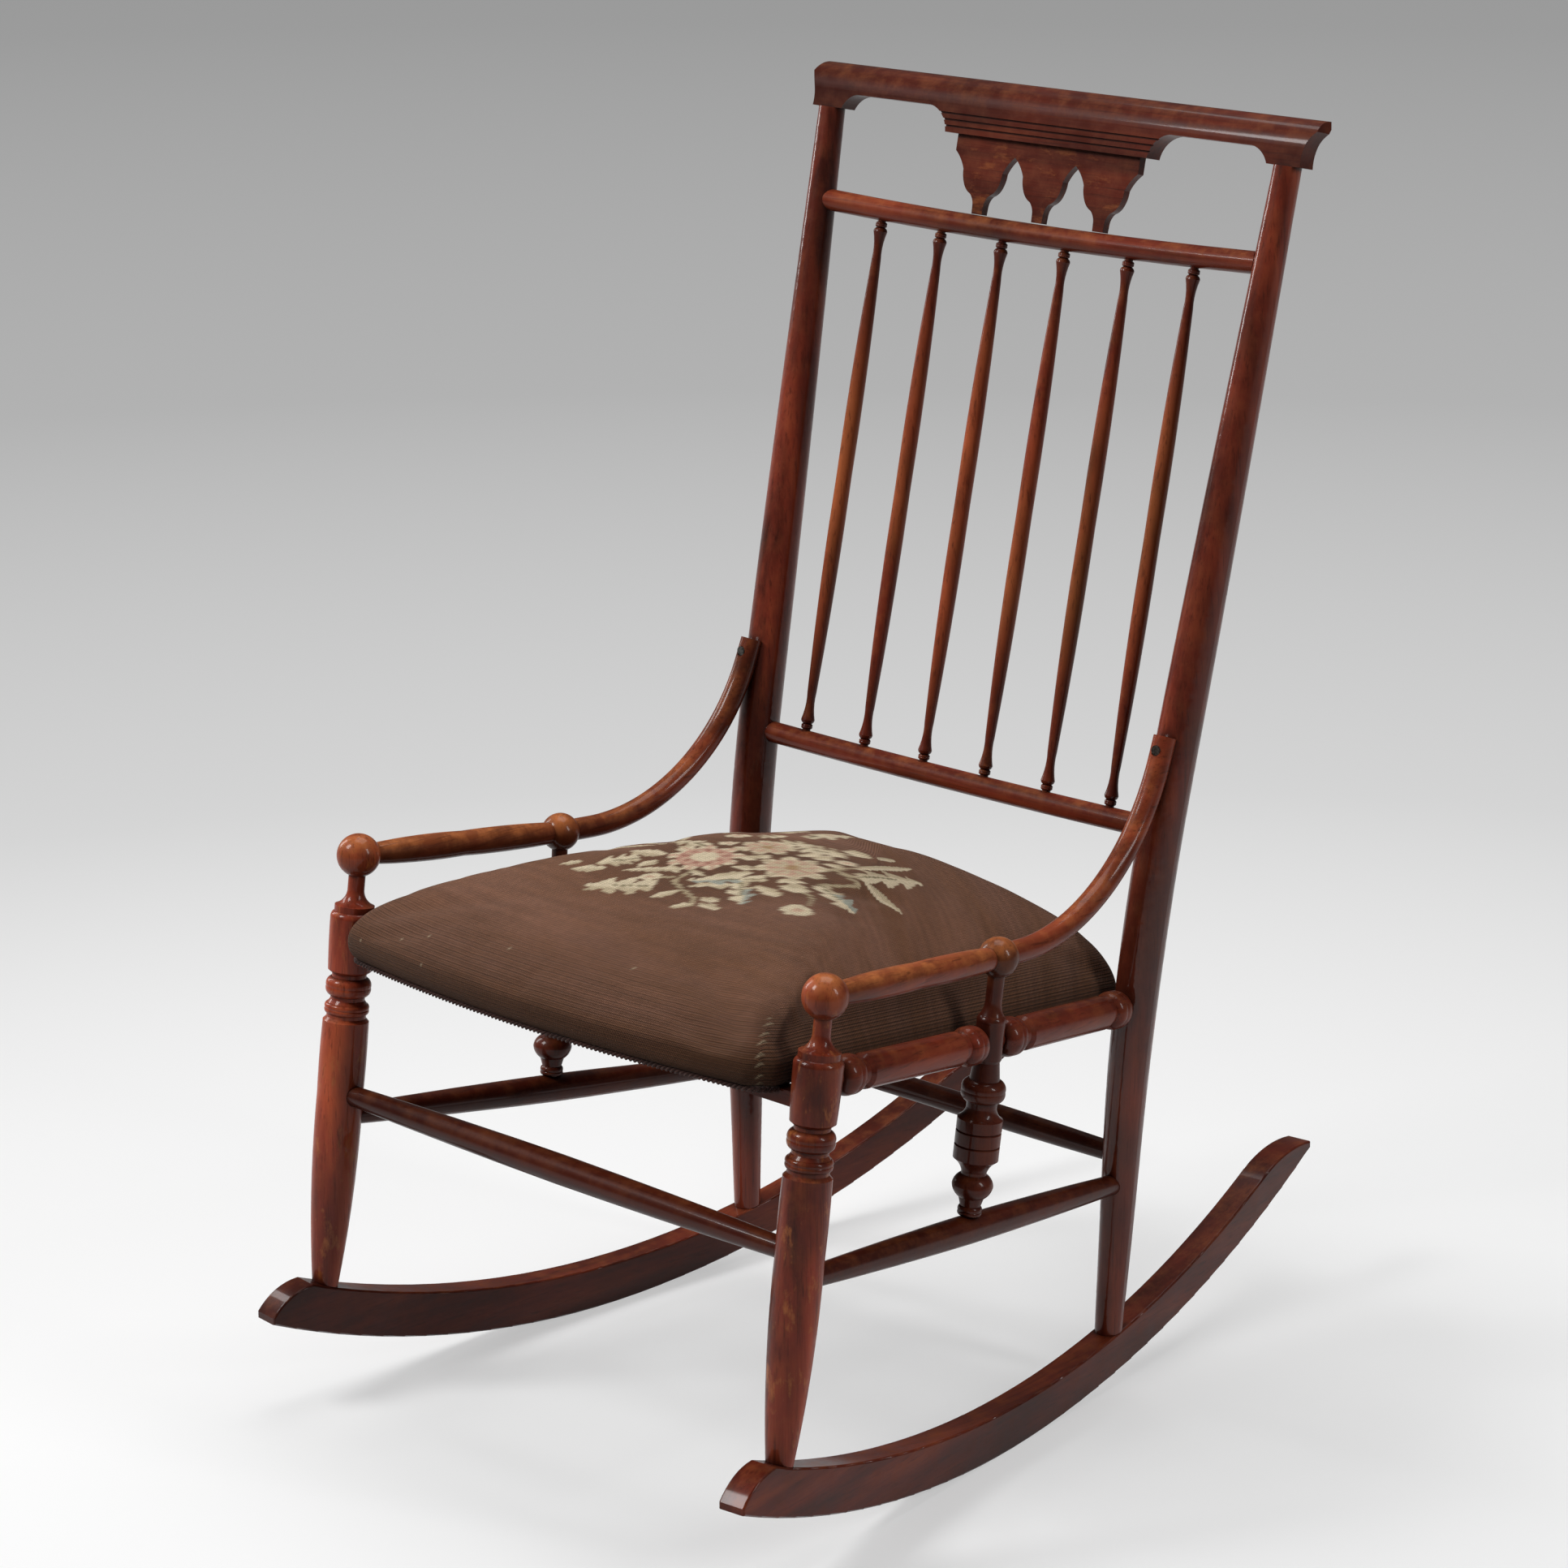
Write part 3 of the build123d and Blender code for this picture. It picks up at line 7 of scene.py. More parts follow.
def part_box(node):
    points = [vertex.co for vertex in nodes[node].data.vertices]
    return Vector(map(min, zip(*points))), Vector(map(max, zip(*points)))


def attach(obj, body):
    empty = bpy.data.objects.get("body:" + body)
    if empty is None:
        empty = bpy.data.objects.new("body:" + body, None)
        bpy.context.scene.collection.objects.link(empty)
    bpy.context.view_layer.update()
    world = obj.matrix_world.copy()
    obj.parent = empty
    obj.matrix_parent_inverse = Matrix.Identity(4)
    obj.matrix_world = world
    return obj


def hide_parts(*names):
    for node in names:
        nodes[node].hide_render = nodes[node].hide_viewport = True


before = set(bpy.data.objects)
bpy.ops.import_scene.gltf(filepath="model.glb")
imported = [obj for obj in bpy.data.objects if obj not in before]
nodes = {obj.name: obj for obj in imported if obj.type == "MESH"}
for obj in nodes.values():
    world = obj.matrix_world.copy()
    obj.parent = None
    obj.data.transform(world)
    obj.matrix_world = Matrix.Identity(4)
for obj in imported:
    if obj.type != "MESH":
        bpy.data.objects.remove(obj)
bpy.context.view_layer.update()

scene = bpy.context.scene
scene.view_settings.view_transform = "Standard"
print("frame loaded:", len(nodes), "nodes")


# small helpers for node trees and meshes

def startFinish(name):
    finish = bpy.data.materials.new(name)
    finish.use_nodes = True
    return finish, finish.node_tree, finish.node_tree.nodes["Principled BSDF"]


def addNode(tree, kind, sockets=None, **settings):
    made = tree.nodes.new("ShaderNode" + kind)
    for key, value in settings.items():
        setattr(made, key, value)
    for key, value in (sockets or {}).items():
        if isinstance(value, bpy.types.NodeSocket):
            tree.links.new(value, made.inputs[key])
        else:
            made.inputs[key].default_value = value
    return made


def addRamp(tree, source, stops):
    made = addNode(tree, "ValToRGB", {"Fac": source})
    elements = made.color_ramp.elements
    while len(elements) < len(stops):
        elements.new(0.5)
    for element, (place, colour) in zip(elements, stops):
        element.position = place
        element.color = (*colour, 1)
    return made.outputs["Color"]


def grey(value):
    return (value, value, value)


def clamped(value):
    return max(0.0, min(1.0, value))


def partWay(first, last, part):
    return tuple(start + (end - start) * part for start, end in zip(first, last))


def addMix(tree, share, first, second):
    made = addNode(tree, "Mix", data_type="RGBA")
    for place, value in ((0, share), (6, first), (7, second)):
        if isinstance(value, bpy.types.NodeSocket):
            tree.links.new(value, made.inputs[place])
        else:
            made.inputs[place].default_value = value if place == 0 else (*value, 1)
    return made.outputs[2]


def addSum(tree, action, first, second):
    return addNode(tree, "Math", {0: first, 1: second}, operation=action).outputs[0]


def addRange(tree, value, low, high, first=0.0, last=1.0):
    made = addNode(tree, "MapRange", {"Value": value, 1: low, 2: high, 3: first, 4: last})
    return made.outputs["Result"]


def addNoise(tree, place, scale, detail, roughness):
    sockets = {"Vector": place, "Scale": scale, "Detail": detail, "Roughness": roughness}
    return addNode(tree, "TexNoise", sockets).outputs["Fac"]


def shaded(tree, colour, source, span, strength, over):
    # lays one colour over another where the source is low
    share = addRamp(tree, source, [(span[0], grey(strength)), (span[1], grey(0.0))])
    return addMix(tree, share, colour, over)


def stretched(tree, place, scale, turn=(0, 0, 0)):
    made = addNode(tree, "Mapping", {"Vector": place, "Scale": scale, "Rotation": turn})
    return made.outputs["Vector"]


def addBump(tree, height, strength, distance, below=None):
    sockets = {"Height": height, "Strength": strength, "Distance": distance}
    if below:
        sockets["Normal"] = below
    return addNode(tree, "Bump", sockets).outputs["Normal"]


def addPiece(name, points, faces, finish):
    mesh = bpy.data.meshes.new(name)
    mesh.from_pydata([tuple(point) for point in points], [], faces)
    mesh.validate()
    mesh.materials.append(finish)
    mesh.polygons.foreach_set("use_smooth", [True] * len(mesh.polygons))
    piece = bpy.data.objects.new(name, mesh)
    scene.collection.objects.link(piece)
    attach(piece, "root")
    return piece


# camera

cameraSet = {"place": (2.0960, -2.3157, 1.3643), "down": 16.504, "turn": 42.907, "lens": 104.35}


def addCamera(spec):
    eye = bpy.data.objects.new("camera", bpy.data.cameras.new("camera"))
    eye.data.sensor_width = 36.0
    eye.data.lens = spec["lens"]
    eye.location = spec["place"]
    eye.rotation_euler = (math.radians(90 - spec["down"]), 0, math.radians(spec["turn"]))
    eye.data.clip_end = 100
    scene.collection.objects.link(eye)
    scene.camera = eye


addCamera(cameraSet)
print("camera placed")


# wood: dark red stain under old polish, rubbed lighter where hands and feet reach it

woodSet = {
    "deep": (0.0380, 0.0066, 0.0032),
    "body": (0.1700, 0.0255, 0.0118),
    "light": (0.3200, 0.0620, 0.0225),
    "worn": (0.5200, 0.1650, 0.0480),
    "waxAndShade": (0.0070, 0.0028, 0.0020),
    "fibres": (2.2, 46.0),       # scale of a pattern along and across the grain
    "pores": (14.0, 420.0),
    "clouds": (5.0, 11.0),
    "patches": (7.0, 13.0),
    "flecks": (30.0, 75.0),
    "scuffs": 62.0,
    "handling": 70.0,
    "creases": 0.012,            # reach of the old wax and painted shade in recesses
    "corners": 0.060,            # reach of the painted shade in corners and near joints
    "roughness": (0.30, 0.52),
    "gloss": 0.09,
    "coat": 0.27,
    "coatRoughness": 0.09,
}


def grainScale(grain, sizes):
    return tuple(sizes[0] if axis == grain else sizes[1] for axis in "xyz")


def stainedWood(name, grain, wear, tone, ballAbove=None, flecks=0.0, even=0.0, cloudy=0.85, ends=None,
                coat=woodSet["coat"]):
    spec = woodSet
    finish, tree, shader = startFinish(name)
    place = addNode(tree, "TexCoord").outputs["Object"]
    height = addNode(tree, "SeparateXYZ", {0: place}).outputs["Z"]

    def pattern(kind, detail, roughness):
        scaled = stretched(tree, place, grainScale(grain, spec[kind]))
        return addNoise(tree, scaled, 1.0, detail, roughness)

    fibres = pattern("fibres", 7.0, 0.62)
    pores = pattern("pores", 3.0, 0.7)
    clouds = pattern("clouds", 4.0, 0.6)
    scuffs = addNoise(tree, place, spec["scuffs"], 6.0, 0.66)
    body, light = [tuple(part * tone for part in spec[kind]) for kind in ("body", "light")]
    colour = addRamp(tree, fibres, [(0.28, spec["deep"]), (0.50, body), (0.74, light)])
    colour = shaded(tree, colour, clouds, (0.36, 0.60), cloudy, spec["deep"])
    # rubbed places, most of all on top
    normal = addNode(tree, "NewGeometry").outputs["Normal"]
    upward = addNode(tree, "SeparateXYZ", {0: normal}).outputs["Z"]
    upward = addRamp(tree, upward, [(0.0, grey(0.25)), (0.85, grey(1.0))])
    rubbed = addRamp(tree, scuffs, [(0.44, grey(even)), (0.70, grey(1.0))])
    rubbed = addSum(tree, "MULTIPLY", addSum(tree, "MULTIPLY", rubbed, upward), wear)
    if ends:
        # bare in the middle, dark towards both ends
        rise = addRange(tree, height, ends[0], ends[0] + 0.14)
        fall = addRange(tree, height, ends[1], ends[1] - 0.12)
        bared = addSum(tree, "MULTIPLY", rise, fall)
        colour = addMix(tree, addRange(tree, bared, 0.0, 1.0, 0.6, 0.0), colour, spec["deep"])
        patches = addRamp(tree, pattern("patches", 3.0, 0.5), [(0.36, grey(0.05)), (0.64, grey(0.50))])
        rubbed = addSum(tree, "MAXIMUM", rubbed, addSum(tree, "MULTIPLY", bared, patches))
    if flecks:
        spots = addRamp(tree, pattern("flecks", 5.0, 0.7), [(0.55, grey(0.0)), (0.67, grey(flecks))])
        rubbed = addSum(tree, "MAXIMUM", rubbed, spots)
    if ballAbove:
        handled = addNoise(tree, place, spec["handling"], 4.0, 0.6)
        handled = addRamp(tree, handled, [(0.30, grey(0.14)), (0.62, grey(0.80))])
        handled = addSum(tree, "MULTIPLY", handled, addRange(tree, height, ballAbove, ballAbove + 0.014))
        rubbed = addSum(tree, "MAXIMUM", rubbed, addSum(tree, "MULTIPLY", handled, upward))
    colour = addMix(tree, rubbed, colour, spec["worn"])
    # old wax left in the recesses, and painted shade in them
    hollow = addNode(tree, "AmbientOcclusion", {"Distance": spec["creases"]}, samples=6).outputs["AO"]
    colour = shaded(tree, colour, hollow, (0.30, 0.82), 0.92, spec["waxAndShade"])
    # painted shade, darker in corners, near joints and under things
    cornerShade = addNode(tree, "AmbientOcclusion", {"Distance": spec["corners"]}, samples=6).outputs["AO"]
    colour = shaded(tree, colour, cornerShade, (0.35, 0.88), 0.75, spec["deep"])
    colour = shaded(tree, colour, pores, (0.30, 0.46), 0.55, spec["deep"])
    tree.links.new(colour, shader.inputs["Base Color"])
    tree.links.new(addRange(tree, scuffs, 0.3, 0.75, *spec["roughness"]), shader.inputs["Roughness"])
    shader.inputs["Specular IOR Level"].default_value = spec["gloss"]
    shader.inputs["Coat Weight"].default_value = coat
    shader.inputs["Coat Roughness"].default_value = spec["coatRoughness"]
    grainBump = addBump(tree, pores, 0.10, 0.0006)
    tree.links.new(addBump(tree, scuffs, 0.07, 0.0012, grainBump), shader.inputs["Normal"])
    return finish


paleSet = {
    "fibres": (2.5, 60.0),
    "colours": [(0.30, (0.26, 0.15, 0.07)), (0.52, (0.42, 0.27, 0.14)), (0.75, (0.52, 0.36, 0.20))],
    "roughness": 0.72,
}


def paleWood(name, grain):
    spec = paleSet
    finish, tree, shader = startFinish(name)
    place = addNode(tree, "TexCoord").outputs["Object"]
    fibres = addNoise(tree, stretched(tree, place, grainScale(grain, spec["fibres"])), 1.0, 6.0, 0.6)
    tree.links.new(addRamp(tree, fibres, spec["colours"]), shader.inputs["Base Color"])
    shader.inputs["Roughness"].default_value = spec["roughness"]
    tree.links.new(addBump(tree, fibres, 0.2, 0.0008), shader.inputs["Normal"])
    return finish


steelSet = {
    "spots": 900.0,
    "colours": [(0.35, (0.035, 0.030, 0.026)), (0.62, (0.11, 0.10, 0.09)), (0.8, (0.16, 0.09, 0.05))],
    "metallic": 0.85,
}


def darkSteel(name):
    spec = steelSet
    finish, tree, shader = startFinish(name)
    place = addNode(tree, "TexCoord").outputs["Object"]
    spots = addNoise(tree, place, spec["spots"], 4.0, 0.6)
    tree.links.new(addRamp(tree, spots, spec["colours"]), shader.inputs["Base Color"])
    shader.inputs["Metallic"].default_value = spec["metallic"]
    tree.links.new(addRamp(tree, spots, [(0.3, grey(0.32)), (0.8, grey(0.6))]), shader.inputs["Roughness"])
    tree.links.new(addBump(tree, spots, 0.15, 0.0004), shader.inputs["Normal"])
    return finish


# how each turned or sawn piece is worn; heights come from the pieces themselves
ballHeight = 0.036
spindleLow, spindleHigh = [corner.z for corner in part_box("spindle_1")]
woodFinishes = {
    "uprightWood": {"grain": "z", "wear": 0.20, "tone": 1.35, "coat": 0.55},
    "legWood": {"grain": "z", "wear": 0.40, "tone": 2.2, "flecks": 0.72,
                "ballAbove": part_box("front_leg_left")[1].z - ballHeight},
    "balusterWood": {"grain": "z", "wear": 0.18, "tone": 0.85,
                     "ballAbove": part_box("baluster_left")[1].z - ballHeight},
    "spindleWood": {"grain": "z", "wear": 0.50, "tone": 1.7, "cloudy": 0.30,
                    "ends": (spindleLow + 0.02, spindleHigh - 0.02)},
    "crossWood": {"grain": "x", "wear": 0.40, "tone": 1.2},
    # the stretchers' low tone is painted shade, as the seat above keeps the light off them
    "shadedStretcherWood": {"grain": "x", "wear": 0.16, "tone": 0.42},
    "crestWood": {"grain": "x", "wear": 0.18, "tone": 0.70},
    "pendantWood": {"grain": "x", "wear": 0.25, "tone": 0.8, "flecks": 0.30},
    "rockerWood": {"grain": "y", "wear": 0.18, "tone": 0.90},
    "sideWood": {"grain": "y", "wear": 0.24, "tone": 1.35},
    "sideStretcherWood": {"grain": "y", "wear": 0.18, "tone": 0.65},
    "rodWood": {"grain": "y", "wear": 0.95, "tone": 1.8, "even": 0.34},
    "bowWood": {"grain": "y", "wear": 0.55, "tone": 1.4, "even": 0.22},
}
finishes = {name: stainedWood(name, **settings) for name, settings in woodFinishes.items()}
finishes["frameAcross"] = paleWood("frameAcross", "x")
finishes["frameAlong"] = paleWood("frameAlong", "y")
finishes["darkSteel"] = darkSteel("darkSteel")

finishedPieces = {
    "uprightWood": ("rear_post",),
    "legWood": ("front_leg",),
    "balusterWood": ("baluster",),
    "spindleWood": ("spindle",),
    "crossWood": ("upper_cross", "lower_cross", "front_seat_rail", "rear_seat_rail"),
    "shadedStretcherWood": ("front_stretcher", "rear_stretcher"),
    "crestWood": ("crest",),
    "pendantWood": ("pendant",),
    "rockerWood": ("rocker",),
    "sideWood": ("front_side_rail", "rear_side_rail"),
    "sideStretcherWood": ("side_stretcher",),
    "rodWood": ("arm_rod",),
    "bowWood": ("arm_bow",),
    "frameAcross": ("seat_frame_front", "seat_frame_rear"),
    "frameAlong": ("seat_frame_left", "seat_frame_right"),
    "darkSteel": ("arm_screws", "seat_tacks", "seat_screws"),
}
for finishName, starts in finishedPieces.items():
    for nodeName, node in nodes.items():
        if nodeName.startswith(starts):
            node.data.materials.clear()
            node.data.materials.append(finishes[finishName])
print("wood and steel finished")


# seat: the cover's shape from its hem to its crown, in metres, on the sloping plane of the seat

seatSet = {
    "origin": Vector((0, -0.270922, 0.341816)),
    "across": Vector((1, 0, 0)),
    "back": Vector((0, 0.990887, -0.134693)),
    "up": Vector((0, 0.134693, 0.990887)),
    "front": -0.030, "rear": 0.39528, "frontHalf": 0.206, "rearHalf": 0.170, "bow": 0.022, "corner": 0.018,
    "crownFront": 0.270, "crownSide": 0.150, "crownRear": 0.108, "high": 0.0095,
    "flatter": 0.6,       # how much of the bow and the corners is gone at the crown
}


def seatPoint(x, back, level):
    spec = seatSet
    return spec["origin"] + spec["across"] * x + spec["back"] * back + spec["up"] * level


def roundedCorner(point, first, second, radius, share):
    turn = math.pi - first.angle(second)
    reach = radius * math.tan(turn / 2)
    centre = point + (first + second).normalized() * radius / math.cos(turn / 2)
    start = (point + first * reach - centre).normalized()
    middle = (point - centre).normalized()
    bend = turn / 2 * share
    side = (middle - start * middle.dot(start)).normalized()
    return centre + (start * math.cos(bend) + side * math.sin(bend)) * radius


def outlinePoint(s, t, inset, share):
    # s and t run from -1 to 1 round a square; the share is 0 at the edge and 1 at the crown
    spec = seatSet
    sideInset = inset + spec["crownSide"] * share
    frontHalf, rearHalf = spec["frontHalf"] - sideInset, spec["rearHalf"] - sideInset
    front = spec["front"] + inset + spec["crownFront"] * share
    rear = spec["rear"] - inset - spec["crownRear"] * share
    radius = spec["corner"] * (1 - spec["flatter"] * share)
    bow = spec["bow"] * (1 - spec["flatter"] * share)
    sign = -1 if s < 0 else 1
    s = abs(s)
    slope = 2 * bow / frontHalf
    sideGo = Vector((rearHalf - frontHalf, rear - front)).normalized()
    if t < 0:
        corner, along = Vector((frontHalf, front)), Vector((-1, -slope)).normalized()
    else:
        corner, along, sideGo = Vector((rearHalf, rear)), Vector((-1, 0)), -sideGo
    if abs(t) >= s:
        spot = Vector((s * frontHalf, front - bow * (1 - s * s))) if t < 0 else Vector((s * rearHalf, rear))
        first, second = along, sideGo
    else:
        part = (t + 1) / 2
        spot = Vector((frontHalf + (rearHalf - frontHalf) * part, front + (rear - front) * part))
        first, second = sideGo, along
    turn = math.pi - first.angle(second)
    reach = radius * math.tan(turn / 2)
    away = (spot - corner).length
    if away < reach:
        spot = roundedCorner(corner, first, second, radius, 1 - away / reach)
    return spot.x * sign, spot.y


coverSet = {
    "rings": 66,          # rows of cloth from the crown's middle to the hem
    "plateau": 0.025,     # half width of the crown's flat middle
    "crownRise": 0.0030,
    "wayIn": 0.19,        # mean way from the hem in to the crown
    "start": 0.0020,      # how much smaller the cloth starts before it is blown up
    "cap": 0.0050,        # how far the cloth may move
    "pressure": 4.0,
    "stretch": 18.0,
    "shear": 6.0,
    "bending": 1.0,
    "mass": 0.3,
    "quality": 6,
    "frames": 20,
    "heldFrom": 0.90,     # ring at which the tacks begin to hold, and how soon they hold fully
    "heldOver": 0.07,
    "thick": 0.0020,
    "swell": 0.0060,      # how far the front bulges over its rail
    "swellRings": (0.66, 1.06),
}
coverRows = [
    # inset from the hem's outline, share of the way to the crown, height above the frame's top
    (0.0, 1.00, 0.0822), (0.0, 0.86, 0.0799), (0.0, 0.70, 0.0728), (0.0, 0.50, 0.0612), (0.0, 0.35, 0.0505),
    (0.0, 0.22, 0.0396), (0.0010, 0.12, 0.0290), (0.0020, 0.055, 0.0200), (0.0020, 0.020, 0.0123),
    (0.0010, 0.005, 0.0050), (0.0, 0.0, -0.0020), (0.0, 0.0, -0.0085), (0.0014, 0.0, -0.0146),
    (0.0050, 0.0, -0.0180),
]


def coverProfile():
    rows = [(inset, share, seatSet["high"] + level) for inset, share, level in coverRows]
    lengths = [coverSet["plateau"]]
    for before, after in zip(rows, rows[1:]):
        run = after[0] - before[0] + (before[1] - after[1]) * coverSet["wayIn"]
        lengths.append(lengths[-1] + math.hypot(run, after[2] - before[2]))
    return [(length / lengths[-1], *row) for length, row in zip(lengths, rows)]


def easedRow(rows, ring):
    # smooth curve through the profile's rows
    last = len(rows) - 1
    place = max(0, min(last - 1, sum(1 for row in rows if row[0] <= ring) - 1))
    ends = [rows[max(0, min(last, place + step))] for step in (-1, 0, 1, 2)]
    span = ends[2][0] - ends[1][0]
    part = (ring - ends[1][0]) / span
    made = []
    for column in (1, 2, 3):
        first, second = ends[1][column], ends[2][column]
        leave = (second - ends[0][column]) / max(1e-9, ends[2][0] - ends[0][0]) * span
        reach = (ends[3][column] - first) / max(1e-9, ends[3][0] - ends[1][0]) * span
        square, cube = part * part, part ** 3
        made.append(first * (2 * cube - 3 * square + 1) + leave * (cube - 2 * square + part)
                    + second * (3 * square - 2 * cube) + reach * (cube - square))
    return made


def coverGrid(rings, sunk):
    # points on the cushion, row by row, with the place of each on the flat cloth
    rows = coverProfile()
    crownRing = rows[0][0]
    points, places = [], []
    for row in range(-rings, rings + 1):
        for column in range(-rings, rings + 1):
            s, t = column / rings, row / rings
            ring = max(abs(s), abs(t))
            around = (s / ring, t / ring) if ring else (0.0, -1.0)
            if ring < crownRing:
                edge = outlinePoint(*around, sunk, 1.0)
                middle = (0.0, (outlinePoint(0, -1, sunk, 1.0)[1] + outlinePoint(0, 1, sunk, 1.0)[1]) / 2)
                part = ring / crownRing
                x, back = partWay(middle, edge, part)
                level = seatSet["high"] + coverRows[0][2] + coverSet["crownRise"] * (1 - part * part) - sunk
            else:
                inset, share, level = easedRow(rows, ring)
                x, back = outlinePoint(*around, inset + sunk, max(0.0, share))
                level -= sunk * clamped(share * 8)
                swellStart, swellEnd = coverSet["swellRings"]
                swollen = clamped((ring - swellStart) / (swellEnd - swellStart))
                bulge = math.sin(math.pi * swollen) ** 1.5
                back -= coverSet["swell"] * bulge * max(0.0, -around[1]) ** 6
            points.append(seatPoint(x, back, level))
            places.append((s, t))
    wide = 2 * rings + 1
    faces = [(first, first + 1, first + 1 + wide, first + wide)
             for line in range(2 * rings) for first in range(line * wide, line * wide + 2 * rings)]
    return points, faces, places


def blowUp(points, faces, places, spec):
    # pulls the cloth tight by blowing it up, its hem held, and returns the settled points
    mesh = bpy.data.meshes.new("looseCloth")
    mesh.from_pydata([tuple(point) for point in points], [], faces)
    loose = bpy.data.objects.new("looseCloth", mesh)
    scene.collection.objects.link(loose)
    held = loose.vertex_groups.new(name="held")
    for number, (s, t) in enumerate(places):
        ring = max(abs(s), abs(t))
        held.add([number], clamped((ring - spec["heldFrom"]) / spec["heldOver"]), "REPLACE")
    cloth = loose.modifiers.new("cloth", "CLOTH")
    settings = cloth.settings
    settings.quality = spec["quality"]
    settings.mass = spec["mass"]
    settings.tension_stiffness = spec["stretch"]
    settings.compression_stiffness = spec["stretch"]
    settings.shear_stiffness = spec["shear"]
    settings.bending_stiffness = spec["bending"]
    settings.use_pressure = True
    settings.uniform_pressure_force = spec["pressure"]
    settings.vertex_group_mass = "held"
    settings.effector_weights.gravity = 0
    cloth.collision_settings.use_collision = False
    cloth.point_cache.frame_start = 1
    cloth.point_cache.frame_end = spec["frames"]
    for number in range(1, spec["frames"] + 1):
        scene.frame_set(number)
    settled = loose.evaluated_get(bpy.context.evaluated_depsgraph_get()).to_mesh()
    moved = []
    for first, vertex in zip(points, settled.vertices):
        step = vertex.co - first
        if step.length > spec["cap"]:
            step *= spec["cap"] / step.length
        moved.append(first + step)
    scene.frame_set(1)
    bpy.data.objects.remove(loose)
    return moved


pleatSet = {
    "depth": 0.0022, "from": 0.70, "over": 0.22, "fold": 0.030, "middle": 0.2,
    "ridge": (0.55, 0.075, 0.045),       # height, distance and width beside the fold
}


def pleated(points, places, spec):
    # the folds at the four corners, where the spare cloth is tucked under, each with a ridge beside it
    high, aside, wide = spec["ridge"]
    middle = seatPoint(0, spec["middle"], 0)
    made = []
    for point, (s, t) in zip(points, places):
        ring = max(abs(s), abs(t))
        reach = clamped((ring - spec["from"]) / spec["over"])
        off = (abs(s) - abs(t)) / max(ring, 1e-6)
        fold = math.exp(-(off / spec["fold"]) ** 2) - high * math.exp(-((off - aside) / wide) ** 2)
        inward = middle - point
        inward -= seatSet["up"] * inward.dot(seatSet["up"])
        made.append(point + inward.normalized() * spec["depth"] * fold * reach)
    return made


# the bouquet worked on the cover: sizes and places in millimetres from its middle

bouquetSet = {
    "middle": (15.0, 142.0),
    "turn": math.radians(43),
    "reach": 160,
    "stemHalf": 1.7,
    "blooms": [
        # place, radius, petals, turn, whether it is the pink one
        (-27, 28, 28, 9, 0.3, True), (34, 3, 26, 8, 1.1, False), (17, 53, 21, 7, 0.6, False)],
    "buds": [(38, -77, 11), (-64, -6, 8), (-11, 63, 7), (73, 28, 8), (-4, 92, 9), (62, 104, 9)],
    "lobed": [
        # root, tip, width and whether one side is blue
        (-61, -25, -108, -12, 32, False), (-73, 33, -102, 29, 24, False), (-1, -28, 0, -68, 20, True),
        (55, -27, 78, -61, 24, True), (81, 1, 127, 30, 27, False), (43, 54, 73, 44, 28, False),
        (20, 67, 51, 63, 25, False), (-26, 56, -51, 78, 22, False), (16, -22, -38, -18, 20, True),
        (11, 90, 31, 96, 22, False), (-40, 88, -82, 104, 26, False), (44, 90, 80, 114, 24, False),
        (-8, 112, -20, 140, 24, False), (28, 112, 46, 138, 22, False)],
    "slender": [
        (-96, 17, -119, 22, 12), (-112, 36, -128, 34, 9), (-40, 4, -85, 11, 8), (84, -3, 112, -34, 9),
        (77, 16, 122, 56, 9), (72, 61, 91, 53, 14), (94, 56, 109, 62, 8), (-54, 36, -80, 50, 14),
        (-23, -14, 9, -8, 11), (58, -14, 40, -9, 12), (9, -33, 27, -56, 11), (26, -36, 47, -43, 14),
        (-7, -31, -23, -32, 12), (-60, 68, -104, 78, 10)],
    "ovals": [
        (-60, 27, -73, 15, 10), (-43, -36, -62, -45, 9), (-33, -61, -48, -65, 8), (-29, -52, -15, -60, 8),
        (-30, -61, -14, -74, 8), (-36, 0, -27, -11, 7), (-37, -30, -17, -26, 8), (23, -25, 44, -28, 10),
        (-2, 31, 9, 18, 10), (3, 41, -7, 52, 9), (7, 23, 20, 31, 9), (-7, 6, 7, -2, 9), (50, 29, 64, 36, 11),
        (39, 34, 55, 41, 10), (-47, 45, -33, 59, 10), (57, 19, 71, 13, 9), (-51, 15, -45, -4, 8)],
    "stems": [
        [(-35, 2), (-47, -18), (-41, -35), (-33, -52), (-35, -64)], [(44, -46), (49, -53), (46, -66)],
        [(64, 7), (81, -10), (80, -15), (55, -25)], [(-97, -19), (-107, -20)], [(-62, -8), (-49, -10)],
        [(55, 1), (77, 17)], [(65, 5), (84, -2)]],
    "shade": (0.0, 12.0, 112.0, 84.0),      # middle and half sizes of the darker ground behind it
    "cream": (0.56, 0.450, 0.290), "ivory": (0.72, 0.60, 0.41), "blue": (0.36, 0.370, 0.305),
    "stem": (0.43, 0.340, 0.205), "sage": (0.245, 0.20, 0.11), "blush": (0.60, 0.39, 0.27),
    "pink": (0.54, 0.285, 0.205), "rose": (0.36, 0.150, 0.102), "ochre": (0.40, 0.25, 0.12),
}


def leafPlace(x, y, leaf):
    # how far along the leaf a stitch lies, from 0 to 1, and how far to its side
    run = Vector((leaf[2] - leaf[0], leaf[3] - leaf[1]))
    offset = Vector((x - leaf[0], y - leaf[1]))
    return offset.dot(run) / run.length_squared, (run.x * offset.y - run.y * offset.x) / run.length


